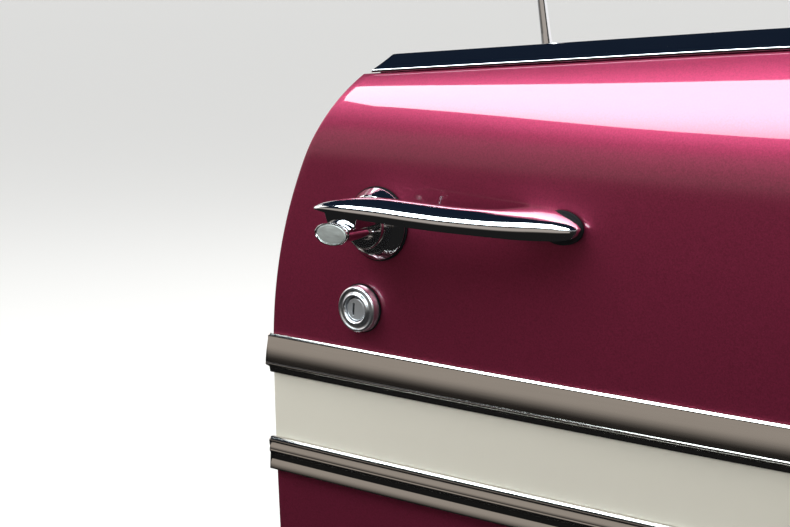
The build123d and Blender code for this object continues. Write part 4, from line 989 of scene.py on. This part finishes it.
class DOOR_OT_armrest(bpy.types.Operator):
    """Makes the armrest: a stuffed vinyl pad blown up as cloth, and the piping sewn round its top edge"""

    bl_idname = "door.armrest"
    bl_label = "Armrest"

    def execute(self, context):
        """The pad starts as a rounded outline carried upwards and drawn in at both ends by circular arcs.
        The piping is a round tube on the pad's surface, found by rays towards the pad's middle line."""
        lo, hi = (np.array(corner) * 1000 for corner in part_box("armrest_pad"))
        x0, x1, y0, y1 = lo[0] + 4, hi[0] - 4, lo[1] + 0.6, hi[1] - 3.5
        mid = np.array([(x0 + x1) / 2, (y0 + y1) / 2])
        ring = rounded([(mid[0], y0), (x0, y0, 10.0), (x0, y1, 24.0), (x1, y1, 24.0), (x1, y0, 10.0),
                        (mid[0], y0)], 10)[:-1]
        a = np.radians(np.linspace(0, 90, 8))
        under_r, over_r = 5, 12
        low = np.stack([lo[2] + 0.8 + under_r * (1 - np.cos(a)), under_r * (1 - np.sin(a))], -1)
        top = np.stack([hi[2] - 4.0 - over_r * (1 - np.sin(a)), over_r * (1 - np.cos(a))], -1)
        rows = np.concatenate([low, top])
        half = np.array([(x1 - x0) / 2, (y1 - y0) / 2])
        scaled = mid + (ring - mid)[None] * (1 - rows[:, 1, None, None] / half)
        pts = np.concatenate([scaled, np.broadcast_to(rows[:, 0, None, None], (*scaled.shape[:2], 1))], -1)
        pad = make_object("armrest_cushion", mesh_of("armrest_cushion", *tube(pts)))
        rest_y, rest_z = (lo[1] + 1.6) / 1000, (lo[2] + 1.8) / 1000
        inflate(pad, 0.005, 4.0, 0.0055, lambda co: (co[:, 1] < rest_y) | (co[:, 2] < rest_z))
        co = np.empty(len(pad.data.vertices) * 3)
        pad.data.vertices.foreach_get("co", co)
        co = co.reshape(-1, 3)
        co[:, 1] = np.maximum(co[:, 1], (lo[1] + 0.1) / 1000)
        co[:, 2] = np.maximum(co[:, 2], (lo[2] + 0.1) / 1000)
        pad.data.vertices.foreach_set("co", co.ravel())
        pad.data.update()
        pad.data.shade_smooth()
        tree = BVHTree.FromPolygons(co.tolist(), [tuple(face.vertices) for face in pad.data.polygons])
        finer = pad.modifiers.new("finer", "SUBSURF")
        finer.levels = finer.render_levels = 1
        dress(pad, "dark_vinyl", "dark_vinyl", "armrest_pad")

        t = np.linspace(0, 1, 160)
        off = 8
        outer = rounded([(x0 - off, y0 + 1.5), (x0 - off, y1 + off, 34.0), (x1 + off, y1 + off, 34.0),
                         (x1 + off, y0 + 1.5)], 24)
        run = np.concatenate([[0], np.cumsum(np.hypot(*np.diff(outer, axis=0).T))])
        line = np.stack([np.interp(t * run[-1], run, outer[:, k]) for k in (0, 1)], -1)
        seam_z, hits = (hi[2] - 17.0) / 1000, []
        for x, y in line / 1000:
            aim_x = min(max(x, x0 / 1000 + 0.03), x1 / 1000 - 0.03)
            aim = Vector((aim_x, max(y0 / 1000 + 0.002, min(y, 0.08)), seam_z))
            start = Vector((x, y, seam_z))
            hits.append(tree.ray_cast(start, (aim - start).normalized())[0] or aim)
        route = np.array(hits) * 1000
        ahead = np.gradient(route, axis=0)
        ahead /= np.linalg.norm(ahead, axis=1, keepdims=True)
        side = np.cross(ahead, [0, 0, 1])
        a = np.linspace(0, 2 * math.pi, 12, endpoint=False)[None, :, None]
        cord = route[:, None] + PIPING_R * (np.cos(a) * side[:, None] + np.sin(a) * np.array([0, 0, 1.0]))
        door_piece("armrest_piping", *tube(cord), "ivory", "ivory_vinyl")
        return {"FINISHED"}


def turned_inboard(profile, x, z, turns=72):
    """A profile of (radius, inboard) turned about an axis along Y, from the trim's face."""
    pts, quads = revolve(profile, turns)
    return pts * np.array([1, -1, 1]) + np.array([x, TRIM_Y + SEAT_GAP, z]), quads


def lever_arm(x, z, reach, angle, bow):
    """A tapered arm: superellipse sections |a/w|^n + |b/t|^n = 1 along a line, its half width falling from
    root to tip with a waist, closing by circles at both ends. Its middle bows inboard as a sine."""
    root, tip, waist, n = 9.6, 7.2, 1.6, 2.6
    quarter = np.linspace(0, math.pi / 2, 14)
    s = np.concatenate([-root * np.cos(quarter), np.linspace(2, reach - 2, 50),
                        reach + tip * np.sin(quarter)])
    share = np.clip(s / reach, 0, 1)
    w = root + (tip - root) * share - waist * np.sin(math.pi * share) ** 2
    w = np.where(s < 0, np.sqrt(np.maximum(root ** 2 - s ** 2, 0)), w)
    w = np.where(s > reach, np.sqrt(np.maximum(tip ** 2 - (s - reach) ** 2, 0)), w)
    thick = 3.3 * np.minimum(1, (w + 0.6) / 4.0)
    a = np.linspace(0, 2 * math.pi, 40, endpoint=False)[None]
    ca, sa = np.cos(a), np.sin(a)
    across = w[:, None] * np.sign(ca) * np.abs(ca) ** (2 / n)
    deep = thick[:, None] * np.sign(sa) * np.abs(sa) ** (2 / n)
    out = 18.0 + bow * np.sin(math.pi * share)[:, None] + deep
    along = np.array([-math.cos(angle), math.sin(angle)])
    side = np.array([math.sin(angle), math.cos(angle)])
    px = x + s[:, None] * along[0] + across * side[0]
    pz = z + s[:, None] * along[1] + across * side[1]
    return tube(np.stack([px, TRIM_Y + SEAT_GAP + out, pz], -1))


class DOOR_OT_levers(bpy.types.Operator):
    """Makes the window crank with its knob and the inside handle, each on a domed plate"""

    bl_idname = "door.levers"
    bl_label = "Crank and inside handle"

    def execute(self, context):
        """Plate and boss: one profile turned about Y. Arm: lever_arm(). Knob: a mushroom profile, turned."""
        plate = rounded([(0, 0), (24, 0, 0.3), (24, 1.2, 0.6), (22.6, 2.6, 1.5), (18.5, 3.4, 1.0),
                         (17.8, 4.0, 0.5), (13.5, 4.0, 1.0), (12.4, 5.5, 1.0), (12.0, 12.0, 2.0),
                         (12.0, 19.0, 2.0), (10.6, 21.6, 2.0), (5.0, 22.0, 1.0), (4.4, 21.2, 0.5),
                         (0, 21.2)], 6)
        stud = rounded([(0, 15), (6, 15, 0.5), (6, 25.2, 0.5), (0, 25.2)], 4)
        knob = rounded([(0, 25.8), (6.5, 25.8, 0.8), (7.2, 28.0, 1.5), (10.6, 33.0, 4.0), (11.0, 39.0, 4.0),
                        (9.6, 46.0, 4.0), (5.5, 49.2, 4.0), (0, 49.7)], 8)
        for node, name, at, reach, angle, bow in (
                ("window_crank", "crank_arm", CRANK_AT, CRANK_REACH, math.radians(CRANK_ANGLE), 0.8),
                ("inside_handle", "pull_arm", PULL_AT, PULL_REACH, 0.0, 1.2)):
            parts = [turned_inboard(plate, *at), lever_arm(*at, reach, angle, bow)]
            if node == "window_crank":
                tip = (at[0] - reach * math.cos(angle), at[1] + reach * math.sin(angle))
                parts.append(turned_inboard(stud, *tip, 40))
                door_piece("crank_grip", *turned_inboard(knob, *tip, 64), "knob", "knob_plastic",
                           "crank_knob", sharp=45)
            door_piece(name, *joined(*parts), "chrome", "chrome", node)
        return {"FINISHED"}


class DOOR_OT_lock_knob(bpy.types.Operator):
    """Makes the lock knob's stem and ball and its flared ferrule on the sill"""

    bl_idname = "door.lock_knob"
    bl_label = "Lock knob"

    def execute(self, context):
        """Profiles of (radius, height) turned about an axis that leans to the rear."""
        stem = rounded([(0, -58.0), (3.4, -58.0, 0.5), (3.4, 2.0, 4.0), (3.0, 12.0, 20.0), (2.45, 44.0, 3.0),
                        (2.9, 45.2, 0.5), (3.9, 46.2, 1.0), (5.0, 49.0, 2.6), (4.4, 52.4, 2.2),
                        (2.4, 53.8, 1.5), (0, 54.0)], 8)
        ferrule = rounded([(4.0, -7.0), (5.2, -7.0, 0.2), (5.2, 2.2, 0.1), (7.4, 2.4, 0.3), (7.3, 3.0, 0.4),
                           (5.6, 3.8, 1.0), (4.2, 5.2, 0.6), (3.75, 5.0, 0.2), (3.75, -6.0, 0.2),
                           (4.0, -7.0)], 6)
        lean = np.array(Euler((0, math.radians(-KNOB_LEAN), 0)).to_matrix())
        foot = np.array([KNOB_X, KNOB_Y, float(belt_z(KNOB_X)) + GARNISH_RISE])
        turns = 64
        for name, profile, node, ring in (("lock_stem", stem, "lock_knob", False),
                                          ("lock_collar", ferrule[:-1], "lock_knob_ferrule", True)):
            pts, _ = revolve(profile, turns)
            quads = grid_quads(len(profile), turns, wrap_rows=ring, wrap_cols=True)
            upright = np.stack([pts[:, 0], pts[:, 2], -pts[:, 1]], -1)
            door_piece(name, upright @ lean.T + foot, quads, "chrome", "chrome", node)
        return {"FINISHED"}


class DOOR_OT_kept_parts(bpy.types.Operator):
    """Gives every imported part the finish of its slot, before finer pieces stand in for some of them"""

    bl_idname = "door.kept_parts"
    bl_label = "Kept parts"

    def execute(self, context):
        by_slot = {"paint_plum": "paint", "paint_plum_inner": "inner_paint", "stainless": "stainless",
                   "chrome": "chrome", "brushed_button": "satin", "glass": "glass", "rubber": "rubber",
                   "dark_trim_paint": "enamel", "ivory_vinyl": "ivory", "dark_vinyl": "dark_vinyl",
                   "carpet": "carpet", "zinc_steel": "zinc", "knob_plastic": "knob"}
        for part in frame["record"]["subparts"]:
            piece = frame["nodes"][part["node"]]
            piece.data.materials.clear()
            piece.data.materials.append(finish(by_slot[part["material_slot"]]))
            piece.data.set_sharp_from_angle(angle=math.radians(30))
        return {"FINISHED"}


def card(name, corners, strength, colour=(1, 1, 1), fade=None):
    """A flat stage card through corners in metres, hidden from the camera and seen by reflections, except
    the fills, which only light matt surfaces. fade is (axis, from, to, share): its light climbs from the
    share to whole along that axis, and falls again between two more places where they are given."""
    mesh = bpy.data.meshes.new(name)
    mesh.from_pydata(corners, [], [tuple(range(len(corners)))])
    piece = make_object(name, mesh)
    f = Finish(name, Base_Color=(0, 0, 0), Roughness=1.0, Specular_IOR_Level=0.0, Emission_Color=colour,
               Emission_Strength=strength)
    if fade is not None:
        axis, low, high, share, *fall = fade
        place = f.axes()["XYZ".index(axis)]
        climb = f.between(place, low, high)
        if fall:
            climb = climb * (1 - f.between(place, *fall))
        f.wear(Emission_Color=f.mix(climb, [c * share for c in colour], colour))
    mesh.materials.append(f.data)
    piece.visible_camera = piece.visible_transmission = piece.visible_shadow = False
    piece.visible_diffuse, piece.visible_glossy = "fill" in name, "fill" not in name


class DOOR_OT_stage(bpy.types.Operator):
    """Sets the pale floor, the cards that light the door and that its bright parts mirror, and the camera"""

    bl_idname = "door.stage"
    bl_label = "Stage"

    def execute(self, context):
        """Each card is a flat face. The softbox and the wall carry a gradient along one axis. The world is
        white to the camera, to mirrored rays and to those through glass, and gives all others less."""
        s = settings()
        floor_z = -0.62
        mesh = bpy.data.meshes.new("pale_floor")
        mesh.from_pydata([(-40, -40, floor_z), (40, -40, floor_z), (40, 40, floor_z), (-40, 40, floor_z)], [],
                         [(0, 1, 2, 3)])
        floor = make_object("pale_floor", mesh)
        f = Finish("pale_floor", Base_Color=(0.50, 0.50, 0.49), Roughness=0.8, Specular_IOR_Level=0.1,
                   Emission_Strength=0.5)
        camera_ray = f.add("ShaderNodeLightPath", "Is Camera Ray")
        f.wear(Emission_Color=f.mix(camera_ray, (0, 0, 0), (1.0, 1.0, 0.985)))
        mesh.materials.append(f.data)

        card("softbox", [(-3.0, -0.5, 2.2), (-1.9, -0.74, 2.2), (2.6, -1.4, 2.2), (2.6, -3.6, 2.2),
                         (-2.34, -2.6, 2.2), (-3.0, -2.1, 2.2), (-3.45, -1.85, 2.2), (-3.35, -1.0, 2.2)],
             s.softbox, (0.88, 1.0, 1.04), fade=("Y", -3.5, -1.5, 0.35))
        card("fill", [(-4.8, -0.5, 2.21), (-1.0, -0.5, 2.21), (-1.0, -2.8, 2.21), (-4.8, -2.8, 2.21)], s.fill)
        card("inner_fill", [(-3.0, 1.4, 1.8), (1.8, 1.4, 1.8), (1.8, 3.2, 1.2), (-3.0, 3.2, 1.2)], 3.0)
        card("dark_ceiling", [(-7, -7, 2.6), (-7, 3.0, 2.6), (6, 3.0, 2.6), (6, -7, 2.6)], 0.03,
             (0.25, 0.45, 0.9))
        card("room_wall", [(-9, -4.0, floor_z), (7, -4.0, floor_z), (7, -4.0, 2.6), (-9, -4.0, 2.6)],
             s.wall, (1.0, 0.90, 0.80), fade=("Z", -0.42, 0.45, 0.05, 1.4, 2.5))
        card("side_panel", [(-4.6, -1.6, 0.9), (-4.6, 1.2, 0.9), (-4.6, 1.2, 2.6), (-4.6, -1.6, 2.6)],
             2.0, (1.0, 0.98, 0.95))
        card("low_panel", [(-4.59, -2.2, 0.3), (-4.59, 0.4, 0.3), (-4.59, 0.4, 0.9), (-4.59, -2.2, 0.9)],
             0.7, (1.0, 0.97, 0.92))
        apron_z = floor_z + 0.01
        card("dark_apron", [(-9, -4.0, apron_z), (7, -4.0, apron_z), (7, 0.6, apron_z), (-9, 0.6, apron_z)],
             0.012)
        card("dark_side", [(7, -4.0, floor_z), (7, 0.6, floor_z), (7, 0.6, 2.6), (7, -4.0, 2.6)], 0.02)

        world = bpy.data.worlds.new("room")
        context.scene.world = world
        world.use_nodes = True
        tree = world.node_tree
        ray = tree.nodes.new("ShaderNodeLightPath").outputs
        seen = ray["Is Camera Ray"]
        for kind in ("Is Glossy Ray", "Is Transmission Ray"):
            add = tree.nodes.new("ShaderNodeMath")
            add.operation, add.use_clamp = "ADD", True
            tree.links.new(seen, add.inputs[0])
            tree.links.new(ray[kind], add.inputs[1])
            seen = add.outputs[0]
        level = tree.nodes.new("ShaderNodeMapRange")
        level.inputs["To Min"].default_value, level.inputs["To Max"].default_value = s.sky, 1.0
        tree.links.new(seen, level.inputs["Value"])
        tree.links.new(level.outputs[0], tree.nodes["Background"].inputs["Strength"])
        tree.nodes["Background"].inputs["Color"].default_value = (1, 1, 1, 1)

        lens = bpy.data.cameras.new("camera")
        focal_pixels, photo_width = 1692.8, 790.0
        lens.sensor_width, lens.lens = 36.0, focal_pixels * 36.0 / photo_width
        lens.clip_start = 0.02
        camera = bpy.data.objects.new("camera", lens)
        context.scene.collection.objects.link(camera)
        camera.location = (-0.4706, -0.8844, 0.2026)
        camera.rotation_euler = (math.radians(90 - 10.149), 0.0, math.radians(36.419))
        context.scene.camera = camera
        context.scene.view_settings.view_transform = "Standard"
        return {"FINISHED"}


STEPS = ("kept_parts", "skin", "side_mouldings", "belt_moulding", "handle", "lock", "trim", "armrest",
         "levers", "lock_knob", "stage")
CLASSES = (DoorSettings, DOOR_OT_kept_parts, DOOR_OT_skin, DOOR_OT_side_mouldings, DOOR_OT_belt_moulding,
           DOOR_OT_handle, DOOR_OT_lock, DOOR_OT_trim, DOOR_OT_armrest, DOOR_OT_levers, DOOR_OT_lock_knob,
           DOOR_OT_stage)


class DOOR_PT_panel(bpy.types.Panel):
    """Lists the door's pieces in the sidebar"""

    bl_label = "Door"
    bl_idname = "DOOR_PT_panel"
    bl_space_type = "VIEW_3D"
    bl_region_type = "UI"
    bl_category = "Door"

    def draw(self, context):
        for name in DoorSettings.__annotations__:
            self.layout.prop(context.scene.door, name)
        for step in STEPS:
            self.layout.operator("door." + step)


def register():
    for item in (*CLASSES, DOOR_PT_panel):
        bpy.utils.register_class(item)
    bpy.types.Scene.door = PointerProperty(type=DoorSettings)


def unregister():
    del bpy.types.Scene.door
    for item in (DOOR_PT_panel, *reversed(CLASSES)):
        bpy.utils.unregister_class(item)


def main():
    """Builds every piece."""
    register()
    for step in STEPS:
        getattr(bpy.ops.door, step)()


if __name__ == "__main__":
    main()
